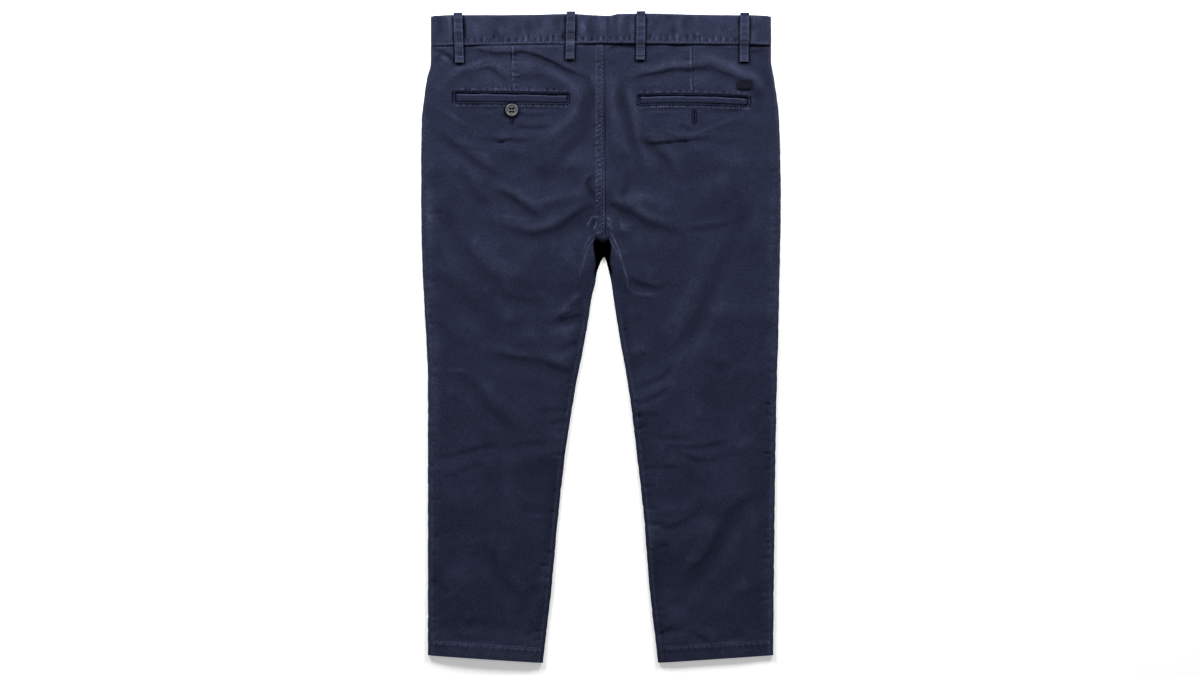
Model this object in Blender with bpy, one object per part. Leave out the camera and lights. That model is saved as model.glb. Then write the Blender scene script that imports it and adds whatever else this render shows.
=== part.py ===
"""Chino trousers lying flat on a floor with their back side up.

X runs across the garment, Y from the hems to the waist, Z up from the floor.
Every size below is in millimetres. A side is worked out in its own coordinate m,
the distance from the middle of the garment towards the outer edge of that side.
"""

import math

import bmesh
import bpy
import numpy as np

METRES = 0.001

# Cloth and clearances
CLOTH = 1.0
BAND_WALL = 1.4
SEAM_GAP = 0.3
LAYER_GAP = 1.0
HALF_SEAM = SEAM_GAP / 2
EDGE_HEIGHT = 2 * CLOTH + LAYER_GAP
EDGE_RADIUS = EDGE_HEIGHT / 2
BAND_STEP = 2 * (BAND_WALL - CLOTH)
BAND_EDGE_RADIUS = (EDGE_HEIGHT + BAND_STEP) / 2
EDGE_STEPS = 4
MOST_HEIGHT = 2 * CLOTH + 3.8

# Centre lines
BACK_SEAM_X = 3.5
FRONT_SEAM_X = 2.7
BAND_SEAM_X = 5.5
BAND_OVERLAP_END_X = 12.7
CROTCH_FOLD_Y = 68.4
SEAT_SEAM_INNER = {"left": 6.3, "right": 8.2}
CROTCH_PIT = {"left": (4.4, 6.0), "right": (6.8, 8.4)}
PIT_RAMP = 1.6
PIT_RIM = 1.7
PIT_START = 1.0
SIDE_STRIP = 2.8
INSEAM_STRIP = 2.8

SIDES = {"left": -1.0, "right": 1.0}

# Outer edge of each side, from waist to hem
OUTER_EDGE_COLUMNS = ("y", "left", "right")
OUTER_EDGE = (
    (249.0, 144.5, 144.5),
    (235.0, 144.5, 144.5),
    (219.0, 147.9, 147.1),
    (202.0, 150.5, 149.6),
    (185.0, 152.2, 151.3),
    (159.0, 152.8, 152.2),
    (117.0, 152.8, 152.8),
    (74.0, 152.2, 152.2),
    (35.0, 150.5, 151.3),
    (-5.0, 148.3, 150.5),
    (-33.0, 147.1, 149.6),
    (-128.0, 147.1, 147.9),
    (-276.5, 147.1, 146.2),
)

# Folded inner edge of each leg, from the crotch fold to the hem
INNER_EDGE_COLUMNS = ("y", "left", "right")
INNER_EDGE = (
    (68.4, -2.6, 2.8),
    (65.9, -0.4, 4.2),
    (62.5, 0.9, 5.1),
    (55.7, 3.4, 6.8),
    (46.0, 4.9, 8.9),
    (35.0, 7.7, 10.4),
    (8.0, 11.9, 14.5),
    (-46.0, 22.1, 23.8),
    (-101.0, 30.6, 30.6),
    (-155.0, 36.6, 36.6),
    (-210.0, 41.7, 40.9),
    (-276.5, 49.3, 48.5),
)

# Inseam of each leg on the upper side, from the crotch to where it runs along the edge
INSEAM_COLUMNS = ("y", "left", "right")
INSEAM = (
    (84.0, 6.3, 8.2),
    (77.0, 11.0, 11.4),
    (67.6, 14.0, 16.6),
    (57.4, 17.0, 19.6),
    (46.3, 18.7, 22.0),
    (36.0, 17.9, 21.3),
    (26.8, 15.3, 17.9),
    (18.0, 13.4, 16.0),
)

# Rows across each side, from waist to hem: how high each lies at the middle and at the
# outer edges, and how many steps it is below the row above it
ROW_COLUMNS = ("place", "inner_y", "left_y", "right_y", "steps")
ROWS = (
    ("waist seam", 249.4, 247.3, 248.2, 0),
    ("loop foot", 233.5, 232.0, 232.0, 2),
    ("pocket mouth", 205.6, 207.9, 203.1, 3),
    ("pocket base", 197.4, 200.0, 196.3, 1),
    ("side pocket end", 161.0, 162.0, 161.0, 4),
    ("crotch", 84.0, 84.0, 84.0, 8),
    ("crotch fold", 68.4, 69.0, 69.0, 2),
    ("fold 1", 65.9, 66.3, 66.3, 1),
    ("fold 2", 62.5, 62.8, 62.8, 1),
    ("fold 3", 55.7, 56.0, 56.0, 1),
    ("fold 4", 46.0, 46.0, 46.0, 1),
    ("fold 5", 35.0, 35.0, 35.0, 1),
    ("thigh", 8.0, 8.0, 8.0, 3),
    ("knee", -101.0, -101.0, -101.0, 8),
    ("shin", -230.0, -227.0, -227.0, 8),
    ("hem line", -263.5, -257.1, -257.1, 2),
    ("hem", -276.2, -269.9, -269.9, 1),
)

# Upper side: share of the width at each column, with the pocket ends among them
BACK_COLUMNS = (0, 0.055, 0.11, 0.164, 0.235, 0.31, 0.39, 0.47, 0.55, 0.63, 0.705, 0.778, 0.847, 0.9, 0.95, 1)
POCKET_COLUMNS = (3, 12)
POCKET_SLIT = 1.2
WELT_WALL = 1.4
WELT_PROUD = 0.5

# Under side
SLANT_TOP_M = 116.0
SLANT_END_INSET = 6.0
UNDER_COLUMNS = (0.28, 0.4, 0.6, 0.75)
UNDER_BLEND = 40.0
TURN_REACH = 2.0

# Largest folds of the upper side: half width, rise (a trough is negative) and route in x, y
FOLD_COLUMNS = ("place", "half_width", "rise", "route")
FOLDS = (
    ("left yoke", 6, -1.5, ((-111, 243), (-66, 241), (-31, 228), (-15, 220), (-8, 206), (-8, 178))),
    ("right yoke", 6, -1.6, ((20, 217), (46, 224), (87, 229), (125, 219), (134, 204))),
    ("under left pocket", 7, -0.9, ((-137, 172), (-111, 153), (-86, 137))),
    ("under right pocket", 7, -1.0, ((18, 196), (24, 174), (46, 165), (84, 169))),
    ("left seat", 7, -1.0, ((-90, 127), (-73, 119), (-48, 103))),
    ("left seat base", 7, -1.7, ((-88, 96), (-60, 90), (-43, 92), (-26, 101), (-10, 111))),
    ("right seat base", 7, -1.7, ((18, 110), (46, 96), (78, 87))),
    ("left thigh", 9, -1.2, ((-135, 107), (-97, 55), (-69, 34))),
    ("right thigh", 9, -1.4, ((128, 100), (105, 64), (88, 22), (60, -9), (27, -43))),
    ("left knee", 7, -1.7, ((-90, -6), (-84, -17), (-48, -21), (-24, -27))),
    ("left calf", 8, -1.1, ((-124, -32), (-103, -53), (-67, -91))),
    ("right calf", 7, -1.2, ((42, -81), (57, -90), (84, -92), (105, -87))),
    ("left shin", 9, -1.1, ((-105, -179), (-89, -199), (-60, -221))),
    ("right shin", 9, -1.4, ((122, -141), (103, -172), (69, -210))),
    ("left knee pad", 12, 0.8, ((-62, -6), (-44, -8))),
    ("right inner thigh", 7, 0.8, ((22, 46), (33, 36), (52, 36))),
    ("left inseam ridge", 5, 0.9, ((-8, 84), (-14, 68), (-19, 46))),
    ("right inseam ridge", 5, 0.9, ((10, 84), (17, 66), (22, 45))),
    ("seat seam ridge", 5, 0.6, ((-1, 236), (-1, 88))),
)
FULLNESS_COLUMNS = ("y", "rise")
FULLNESS = ((249, 2.0), (200, 1.7), (150, 2.0), (84, 1.8), (0, 1.7), (-150, 1.5), (-276, 1.2))
OUTER_SLOPE = 18.0
INNER_SLOPE = 9.0
FOLD_FADE = 9.0

# Waistband
BAND_TOP_COLUMNS = ("x", "y")
BAND_TOP = (
    (-144.5, 271.6),
    (-141.0, 273.3),
    (-60.0, 273.9),
    (-25.0, 274.7),
    (-8.0, 273.6),
    (5.0, 273.0),
    (16.0, 274.5),
    (45.0, 274.7),
    (75.0, 274.0),
    (141.0, 273.3),
    (144.5, 271.6),
)
BAND_ROWS = 4
BAND_BACK_COLUMNS = 15
CLOSURE_BULGE = 0.8
CLOSURE_BULGE_HALF_WIDTH = 16.0

# Belt loops
LOOP_COLUMNS = ("name", "x_top", "x_foot", "y_foot")
BACK_LOOPS = (
    ("belt_loop_back_1", -121.3, -120.0, 233.0),
    ("belt_loop_back_2", -25.5, -26.4, 235.9),
    ("belt_loop_back_3", 33.9, 33.4, 235.4),
    ("belt_loop_back_4", 121.9, 121.3, 233.8),
)
FRONT_LOOPS = (
    ("belt_loop_front_1", -61.0, -61.0, 236.0),
    ("belt_loop_front_2", 66.0, 66.0, 236.0),
)
LOOP_WIDTH = 7.5
LOOP_WALL = 1.0
LOOP_FOOT = 5.5
LOOP_BOW = 0.7
LOOP_SHOULDER = 0.8
LOOP_RAMP = 5.0
LOOP_LIFT_START = 3.0
LOOP_FOLD = 1.2
LOOP_AT_SEAM = 1.0
LOOP_ON_BAND = (0.15, 0.4, 0.7, 0.9)
FRONT_LOOP_INSET = 1.0
# How a loop goes over the upper edge of the band: y past the edge and height over the band's face
HOOK_COLUMNS = ("under_y", "under_z", "over_y", "over_z")
HOOK = (
    (-0.5, 0.3, -0.2, 1.3),
    (0.6, 0.15, 1.35, 0.95),
    (0.95, -0.5, 2.0, -0.3),
    (0.95, -BAND_WALL, 1.95, -BAND_WALL),
)

# Buttons and patch
BUTTON_RADIUS = 5.7
BUTTON_HEIGHT = 2.0
BUTTON_PROFILE_COLUMNS = ("share of radius", "share of height")
BUTTON_PROFILE = ((0.84, 0), (1, 0.24), (1, 0.7), (0.92, 1), (0.74, 1), (0.6, 0.72))
BUTTON_SIDES = 24
BUTTON_HOLE_RADIUS = 0.7
BUTTON_HOLE_OFFSET = 1.35
BUTTON_HOLE_SIDES = 10
POCKET_BUTTON_XY = (-75.6, 192.8)
WAIST_BUTTON_XY = (2.7, 261.3)
BUTTON_LIFT_RADIUS = 8.9
BUTTON_LIFT_END = 15.0
PATCH_CENTRE = (121.3, 214.7)
PATCH_SIZE = (13.2, 8.2)
PATCH_WALL = 0.8
PATCH_STEPS = 2
PATCH_REACH = 2.0

MATERIALS = {
    "twill_navy": ((0.021, 0.025, 0.047), 0.92),
    "woven_patch": ((0.012, 0.014, 0.03), 0.85),
    "button_charcoal": ((0.045, 0.048, 0.06), 0.38),
}


def table_value(table, columns, wanted, at):
    """The value of a named column of a table, between its rows, at a place in its first column."""
    rows = sorted(table)
    keys = [row[0] for row in rows]
    values = [row[columns.index(wanted)] for row in rows]
    return float(np.interp(at, keys, values))


def smooth(value):
    share = min(max(value, 0.0), 1.0)
    return share * share * (3 - 2 * share)


def distance_to_route(x, y, route):
    """How far a point lies from a line of several straight stretches."""
    nearest = math.inf
    for (ax, ay), (bx, by) in zip(route, route[1:]):
        dx, dy = bx - ax, by - ay
        along = ((x - ax) * dx + (y - ay) * dy) / (dx * dx + dy * dy)
        along = min(max(along, 0.0), 1.0)
        nearest = min(nearest, math.hypot(x - ax - along * dx, y - ay - along * dy))
    return nearest


def outer_m(side, y):
    return table_value(OUTER_EDGE, OUTER_EDGE_COLUMNS, side, y)


def inner_m(side, y):
    return table_value(INNER_EDGE, INNER_EDGE_COLUMNS, side, y)


def inseam_m(side, y):
    """The inseam on the upper side: where the front cloth, wrapped over the edge, meets the back."""
    lowest = INSEAM[-1][0]
    seam = table_value(INSEAM, INSEAM_COLUMNS, side, y)
    if y >= lowest:
        return seam
    return max(inner_m(side, y) + INSEAM_STRIP, seam - (lowest - y))


def front_lift(x, y):
    """How far the front cloth is raised off the floor by the loops and the button that it lies on."""
    lift = 0.0
    for _, loop_x, _, y_foot in FRONT_LOOPS:
        across = np.interp(
            abs(x - loop_x),
            [LOOP_WIDTH / 2 + LOOP_SHOULDER, LOOP_WIDTH / 2 + LOOP_SHOULDER + LOOP_RAMP],
            [LOOP_WALL + SEAM_GAP, 0.0],
        )
        full = y_foot - LOOP_LIFT_START
        along = np.interp(y, [full - 2 * LOOP_RAMP, full], [0.0, 1.0])
        lift = max(lift, across * along)
    away = math.hypot(x - WAIST_BUTTON_XY[0], y - WAIST_BUTTON_XY[1])
    ramp = [BUTTON_LIFT_RADIUS, BUTTON_LIFT_END]
    return max(lift, float(np.interp(away, ramp, [BUTTON_HEIGHT + SEAM_GAP, 0.0])))


def upper_height(x, y):
    """Height of the outer face of the upper layer above the floor."""
    side = "left" if x < FRONT_SEAM_X else "right"
    m = x * SIDES[side]
    from_outer = outer_m(side, y) - m - EDGE_RADIUS
    from_inner = m - inner_m(side, min(y, CROTCH_FOLD_Y)) - EDGE_RADIUS
    from_inner += 2 * max(y - CROTCH_FOLD_Y, 0.0)
    edge = smooth(from_outer / OUTER_SLOPE) * smooth(from_inner / INNER_SLOPE)
    fade = smooth(min(from_outer, from_inner) / FOLD_FADE)
    rise = edge * table_value(FULLNESS, FULLNESS_COLUMNS, "rise", y)
    for _, half_width, fold_rise, route in FOLDS:
        away = distance_to_route(x, y, route) / half_width
        rise += fade * fold_rise * math.exp(-away * away)
    height = EDGE_HEIGHT + max(rise, 0.0)
    lowest = front_lift(x, y) + 2 * CLOTH + SEAM_GAP
    return min(max(height, lowest), MOST_HEIGHT)


def row_table(side):
    """The rows of a side, as (place, y at the inner end, y at the outer end)."""
    outer = ROW_COLUMNS.index(side + "_y")
    steps = ROW_COLUMNS.index("steps")
    rows = [(ROWS[0][0], ROWS[0][1], ROWS[0][outer])]
    for above, row in zip(ROWS, ROWS[1:]):
        for step in range(1, row[steps]):
            share = step / row[steps]
            inner_y = above[1] + share * (row[1] - above[1])
            outer_y = above[outer] + share * (row[outer] - above[outer])
            rows.append((None, inner_y, outer_y))
        rows.append((row[0], row[1], row[outer]))
    return rows


class Wall:
    """A cloth wall: a net of points, each with an outer and an inner place, joined by cells of four."""

    def __init__(self):
        self.outer = []
        self.inner = []
        self.number = {}
        self.cells = []

    def point(self, key, outer, inner):
        if key not in self.number:
            self.number[key] = len(self.outer)
            self.outer.append(outer)
            self.inner.append(inner)

    def cell(self, *keys):
        self.cells.append([self.number[key] for key in keys])

    def grid_cells(self, rows, columns, keep=lambda row, column: True):
        for row in rows:
            for column in columns:
                if keep(row, column):
                    self.cell((row, column), (row, column + 1), (row + 1, column + 1), (row + 1, column))

    def build(self, name, material):
        """One closed solid from the two faces of the wall and the rim round them."""
        count = len(self.outer)
        edges = set()
        for cell in self.cells:
            edges.update(zip(cell, cell[1:] + cell[:1]))
        faces = list(self.cells)
        faces += [[corner + count for corner in reversed(cell)] for cell in self.cells]
        faces += [[b, a, a + count, b + count] for a, b in sorted(edges) if (b, a) not in edges]
        return mesh_object(name, self.outer + self.inner, faces, material)


def mesh_object(name, points, faces, material):
    """A mesh object in metres whose faces point outwards."""
    mesh = bpy.data.meshes.new(name)
    mesh.from_pydata([tuple(METRES * float(value) for value in point) for point in points], [], faces)
    shape = bmesh.new()
    shape.from_mesh(mesh)
    loose = [vertex for vertex in shape.verts if not vertex.link_faces]
    bmesh.ops.delete(shape, geom=loose, context="VERTS")
    if shape.calc_volume(signed=True) < 0:
        bmesh.ops.reverse_faces(shape, faces=shape.faces)
    shape.to_mesh(mesh)
    shape.free()
    made = bpy.data.objects.new(name, mesh)
    made.data.materials.append(material)
    bpy.context.collection.objects.link(made)
    return made


class Front:
    """The front of one side: it lies on the floor and wraps over the outer edge and the inner leg edge."""

    def __init__(self, side):
        self.side = side
        self.sign = SIDES[side]
        self.rows = row_table(side)
        places = [row[0] for row in self.rows]
        self.slant_end = places.index("side pocket end")
        self.crotch = places.index("crotch")
        self.fold = places.index("crotch fold")
        self.last = len(self.rows) - 1
        self.under_start = 1 + EDGE_STEPS
        self.slant_column = self.under_start + 1
        self.under_end = self.slant_column + len(UNDER_COLUMNS) + 1
        self.strip_start = self.under_end + EDGE_STEPS
        self.strip_end = self.strip_start + 3

    def centre(self):
        return self.sign * FRONT_SEAM_X + HALF_SEAM

    def loop_m(self):
        return abs(FRONT_LOOPS[0 if self.side == "left" else 1][1])

    def turned(self, row):
        """The middle of the folded inner edge at a row: its m, y and the way into the cloth."""
        inner_y = self.rows[row][1]
        m = inner_m(self.side, inner_y)
        if row == self.fold:
            return self.centre(), inner_y, (0.0, 1.0)
        run = 2 * TURN_REACH
        slope = inner_m(self.side, inner_y + TURN_REACH) - inner_m(self.side, inner_y - TURN_REACH)
        length = math.hypot(run, slope)
        return m, inner_y, (run / length, -slope / length)

    def inner_end(self, row):
        """m and y where the flat under side ends towards the middle."""
        if row < self.fold:
            return self.centre(), self.rows[row][1]
        m, y, way = self.turned(row)
        return m + EDGE_RADIUS * way[0], y + EDGE_RADIUS * way[1]

    def lifted(self, m, y, flat, thick):
        lift = front_lift(self.sign * m, y)
        return (self.sign * m, y, flat + lift), (self.sign * m, y, thick + lift)

    def under_m(self, row, column):
        """m of a column of the flat under side."""
        _, inner_y, outer_y = self.rows[row]
        outer = outer_m(self.side, outer_y) - EDGE_RADIUS
        inner = self.inner_end(row)[0]
        top_y = ROWS[0][1]
        end_y = self.rows[self.slant_end][2]
        slant_end = outer + EDGE_RADIUS - SLANT_END_INSET
        slant = np.interp(outer_y, [end_y, top_y], [slant_end, SLANT_TOP_M])
        if column <= self.under_start:
            return outer
        if column == self.slant_column:
            return float(slant)
        if column == self.under_end:
            return inner
        step = column - self.slant_column - 1
        near = LOOP_WIDTH / 2 + LOOP_SHOULDER
        by_loop = self.loop_m() + (near + LOOP_RAMP, near, -near, -near - LOOP_RAMP)[step]
        by_share = slant + UNDER_COLUMNS[step] * (inner - slant)
        weight = smooth((outer_y - end_y) / UNDER_BLEND)
        return float(by_share + weight * (by_loop - by_share))

    def under_y(self, row, m):
        _, inner_y, outer_y = self.rows[row]
        end_m, end_y = self.inner_end(row)
        outer = outer_m(self.side, outer_y)
        return float(np.interp(m, [end_m, outer], [end_y, outer_y]))

    def strip_m(self, row, column):
        """m of a column of the strip that shows on the upper side along the inner edge."""
        y = self.rows[row][1]
        start = self.inner_end(row)[0]
        end = inseam_m(self.side, y) - HALF_SEAM
        foot, top = CROTCH_PIT[self.side]
        step = column - self.strip_start
        if step == 0:
            return start
        if step == 3:
            return end
        if start < foot - PIT_START:
            top = min(top, end - PIT_RIM)
            return min(foot, top - PIT_RAMP) if step == 1 else top
        return start + step / 3 * (end - start)

    def strip_y(self, row, step):
        """y of a step of the strip: from the end of the fold to the row's own y at the inseam."""
        inner_y = self.rows[row][1]
        if row == self.crotch:
            return inner_y - HALF_SEAM
        if row < self.fold:
            return inner_y
        start_y = self.inner_end(row)[1]
        return start_y + step / 3 * (inner_y - start_y)

    def strip_point(self, row, column):
        step = column - self.strip_start
        x = self.sign * self.strip_m(row, column)
        y = self.strip_y(row, step)
        in_pit = self.inner_end(row)[0] < CROTCH_PIT[self.side][0] - PIT_START
        floor_steps = (0, 1, 2) if row == self.crotch else (0, 1)
        height = upper_height(x, y)
        if step == 0 or (in_pit and step in floor_steps):
            height = EDGE_HEIGHT
        return (x, y, height), (x, y, height - CLOTH)

    def outer_turn(self, row, column):
        """Points of the strip and of the fold along the outer edge."""
        outer_y = self.rows[row][2]
        m = outer_m(self.side, outer_y)
        if column == 0:
            m -= SIDE_STRIP - HALF_SEAM
            y = self.under_y(row, m)
            height = upper_height(self.sign * m, y)
            return (self.sign * m, y, height), (self.sign * m, y, height - CLOTH)
        angle = math.pi * (0.5 - (column - 1) / EDGE_STEPS)
        places = []
        for radius in (EDGE_RADIUS, EDGE_RADIUS - CLOTH):
            at_m = m - EDGE_RADIUS + radius * math.cos(angle)
            places.append((self.sign * at_m, outer_y, EDGE_RADIUS + radius * math.sin(angle)))
        return places

    def inner_turn(self, row, column):
        """Points of the fold along the inner edge of the leg."""
        m, y, way = self.turned(row)
        angle = math.pi * (-0.5 + (column - self.under_end) / EDGE_STEPS)
        places = []
        for radius in (EDGE_RADIUS, EDGE_RADIUS - CLOTH):
            inwards = EDGE_RADIUS - radius * math.cos(angle)
            at_m = m + inwards * way[0]
            at_y = y + inwards * way[1]
            places.append((self.sign * at_m, at_y, EDGE_RADIUS + radius * math.sin(angle)))
        return places

    def place(self, row, column):
        if column < self.under_start:
            return self.outer_turn(row, column)
        if column <= self.under_end:
            m = self.under_m(row, column)
            return self.lifted(m, self.under_y(row, m), 0.0, CLOTH)
        if column < self.strip_start:
            return self.inner_turn(row, column)
        return self.strip_point(row, column)

    def in_facing(self, row, column):
        return row < self.slant_end and column < self.slant_column

    def build(self, material):
        panel = Wall()
        for row in range(self.last + 1):
            end = self.under_end if row < self.fold else self.strip_end
            for column in range(end + 1):
                panel.point((row, column), *self.place(row, column))
        for row in range(self.crotch, self.fold):
            for column in range(self.strip_start, self.strip_end + 1):
                panel.point((row, column), *self.strip_point(row, column))
        panel.grid_cells(range(self.fold), range(self.under_end), lambda r, c: not self.in_facing(r, c))
        panel.grid_cells(range(self.fold, self.last), range(self.strip_end))
        panel.grid_cells(range(self.crotch, self.fold), range(self.strip_start, self.strip_end))
        return panel.build("front_" + self.side, material)

    def build_facing(self, material):
        """The cloth that shows in the slanted side pocket, up to the side seam."""
        facing = Wall()
        for row in range(self.slant_end + 1):
            for column in range(self.slant_column + 1):
                outer, inner = self.place(row, column)
                aside = self.sign * SEAM_GAP if column == self.slant_column else 0.0
                up = SEAM_GAP if row == self.slant_end else 0.0
                moved = [(x + aside, y + up, z) for x, y, z in (outer, inner)]
                facing.point((row, column), *moved)
        facing.grid_cells(range(self.slant_end), range(self.slant_column))
        return facing.build("pocket_facing_" + self.side, material)


class Back:
    """The back of one side, the upper layer, with the opening for its welt pocket."""

    def __init__(self, side):
        self.side = side
        self.sign = SIDES[side]
        self.rows = row_table(side)
        places = [row[0] for row in self.rows]
        self.mouth = places.index("pocket mouth")
        self.base = places.index("pocket base")
        self.crotch = places.index("crotch")
        self.last = len(self.rows) - 1
        self.split = len(BACK_COLUMNS) - 1
        self.middle = self.split + 2
        self.nets = []
        for row in range(self.last + 1):
            self.nets.append([self.xyz(row, column) for column in range(self.middle + 1)])

    def m_at(self, row, column):
        _, inner_y, outer_y = self.rows[row]
        outer = outer_m(self.side, outer_y) - SIDE_STRIP - HALF_SEAM
        if row <= self.crotch:
            split = SEAT_SEAM_INNER[self.side] + HALF_SEAM
        else:
            split = inseam_m(self.side, inner_y) + HALF_SEAM
        if column <= self.split:
            return outer + BACK_COLUMNS[column] * (split - outer)
        centre = self.sign * BACK_SEAM_X + HALF_SEAM
        return split + (column - self.split) / (self.middle - self.split) * (centre - split)

    def xyz(self, row, column):
        _, inner_y, outer_y = self.rows[row]
        m = self.m_at(row, column)
        inner = self.m_at(row, self.middle if row <= self.crotch else self.split)
        outer = outer_m(self.side, outer_y)
        y = float(np.interp(m, [inner, outer], [inner_y, outer_y]))
        if row == 0:
            y -= HALF_SEAM
        if row == self.crotch and column > self.split:
            y += HALF_SEAM
        return self.sign * m, y, upper_height(self.sign * m, y)

    def height(self, x, y):
        """Height of the outer face as it is built, between the points of the net."""
        ys, zs = [], []
        for row in self.nets[: self.crotch]:
            across = sorted(row)
            xs = [point[0] for point in across]
            ys.append(float(np.interp(x, xs, [point[1] for point in across])))
            zs.append(float(np.interp(x, xs, [point[2] for point in across])))
        return float(np.interp(y, ys[::-1], zs[::-1]))

    def in_pocket(self, row, column):
        first, last = POCKET_COLUMNS
        return self.mouth <= row < self.base and first <= column < last

    def build(self, material):
        panel = Wall()
        for row in range(self.last + 1):
            end = self.middle if row <= self.crotch else self.split
            for column in range(end + 1):
                x, y, z = self.nets[row][column]
                panel.point((row, column), (x, y, z), (x, y, z - CLOTH))
        panel.grid_cells(range(self.crotch), range(self.middle), lambda r, c: not self.in_pocket(r, c))
        panel.grid_cells(range(self.crotch, self.last), range(self.split))
        return panel.build("back_" + self.side, material)

    def build_welt(self, material):
        """The welt that fills the pocket opening but for the slit along its top."""
        welt = Wall()
        first, last = POCKET_COLUMNS
        for column in range(first, last + 1):
            x_top, y_top, z_top = self.nets[self.mouth][column]
            x_base, y_base, z_base = self.nets[self.base][column]
            inset = {first: -SEAM_GAP, last: SEAM_GAP}.get(column, 0.0) * self.sign
            edges = ((x_top, y_top - POCKET_SLIT, z_top), (x_base, y_base + SEAM_GAP, z_base))
            for row, (x, y, z) in enumerate(edges):
                top = z + WELT_PROUD
                welt.point((row, column), (x + inset, y, top), (x + inset, y, top - WELT_WALL))
        welt.grid_cells(range(1), range(first, last))
        return welt.build("pocket_welt_" + self.side, material)


class Band:
    """One side of the waistband: it runs over the back, round the outer edge and along the front."""

    def __init__(self, side):
        self.side = side
        self.sign = SIDES[side]
        self.seam_inner = ROWS[0][1]
        self.seam_outer = ROWS[0][ROW_COLUMNS.index(side + "_y")]
        self.side_m = outer_m(side, self.seam_outer)
        near = LOOP_WIDTH / 2 + LOOP_SHOULDER
        loop = abs(FRONT_LOOPS[0 if side == "left" else 1][1])
        by_loop = [loop + near + LOOP_RAMP, loop + near, loop - near, loop - near - LOOP_RAMP]
        button = self.sign * WAIST_BUTTON_XY[0]
        level = BUTTON_RADIUS + LOOP_SHOULDER
        ramp = [button + BUTTON_LIFT_END, button + BUTTON_LIFT_RADIUS, button + level, button - level]
        end = self.sign * BAND_OVERLAP_END_X + HALF_SEAM
        by_button = [m for m in ramp if m > end + 1] + [end]
        self.front_columns = [self.side_m - BAND_EDGE_RADIUS] + by_loop + by_button
        self.turn_start = BAND_BACK_COLUMNS
        self.front_start = self.turn_start + EDGE_STEPS
        self.last = self.front_start + len(self.front_columns) - 1

    def seam_y(self, m):
        return float(np.interp(m, [0.0, self.side_m], [self.seam_inner, self.seam_outer]))

    def back_m(self, column):
        start = self.sign * BAND_SEAM_X + HALF_SEAM
        return start + column / self.turn_start * (self.side_m - BAND_EDGE_RADIUS - start)

    def y_at(self, m, x, row):
        low = self.seam_y(m) + HALF_SEAM
        high = table_value(BAND_TOP, BAND_TOP_COLUMNS, "y", x)
        return low + row / BAND_ROWS * (high - low)

    def upper(self, x, y):
        """Height of the outer face of the band where it lies over the back."""
        seam = self.seam_y(abs(x))
        bulge = CLOSURE_BULGE * math.exp(-(((x - FRONT_SEAM_X) / CLOSURE_BULGE_HALF_WIDTH) ** 2))
        height = upper_height(x, seam) + BAND_STEP + bulge
        return max(height, front_lift(x, y) + 2 * BAND_WALL + SEAM_GAP)

    def upper_built(self, x, y):
        """Height of the outer face as it is built, between its columns."""
        columns = [self.back_m(column) for column in range(self.turn_start + 1)]
        heights = [self.upper(self.sign * m, y) for m in columns]
        return float(np.interp(self.sign * x, columns, heights))

    def place(self, row, column):
        if column <= self.turn_start:
            m = self.back_m(column)
            x = self.sign * m
            y = self.y_at(m, x, row)
            height = self.upper(x, y)
            return (x, y, height), (x, y, height - BAND_WALL)
        if column >= self.front_start:
            m = self.front_columns[column - self.front_start]
            x = self.sign * m
            y = self.y_at(m, x, row)
            lift = front_lift(x, y)
            return (x, y, lift), (x, y, lift + BAND_WALL)
        angle = math.pi * (0.5 - (column - self.turn_start) / EDGE_STEPS)
        places = []
        for radius in (BAND_EDGE_RADIUS, BAND_EDGE_RADIUS - BAND_WALL):
            m = self.side_m - BAND_EDGE_RADIUS + radius * math.cos(angle)
            edge_x = self.sign * (self.side_m - BAND_EDGE_RADIUS * (1 - math.cos(angle)))
            y = self.y_at(self.side_m, edge_x, row)
            places.append((self.sign * m, y, BAND_EDGE_RADIUS + radius * math.sin(angle)))
        return places

    def build(self, material):
        band = Wall()
        for row in range(BAND_ROWS + 1):
            for column in range(self.last + 1):
                band.point((row, column), *self.place(row, column))
        band.grid_cells(range(BAND_ROWS), range(self.last))
        return band.build("waistband_" + self.side, material)


def loop_wall(x_top, x_foot, stations):
    """A belt loop from stations of (under side y, z), (outer side y, z), from its foot to its top."""
    wall = Wall()
    y_foot = stations[0][0][0]
    y_top = stations[-1][0][0]
    for row, (under, over) in enumerate(stations):
        share = (under[0] - y_foot) / (y_top - y_foot)
        middle = x_foot + min(max(share, 0.0), 1.0) * (x_top - x_foot)
        for column, x in enumerate((middle - LOOP_WIDTH / 2, middle + LOOP_WIDTH / 2)):
            wall.point((row, column), (x, *over), (x, *under))
    wall.grid_cells(range(len(stations) - 1), range(1))
    return wall


def top_hook(top, face):
    """Stations that take a loop over the upper edge of a band whose outer face is at height face."""
    stations = []
    for under_y, under_z, over_y, over_z in HOOK:
        stations.append(((top + under_y, face + under_z), (top + over_y, face + over_z)))
    return stations


def highest_across(height, x, y):
    half = LOOP_WIDTH / 2
    return max(height(x - half, y), height(x, y), height(x + half, y))


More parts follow.
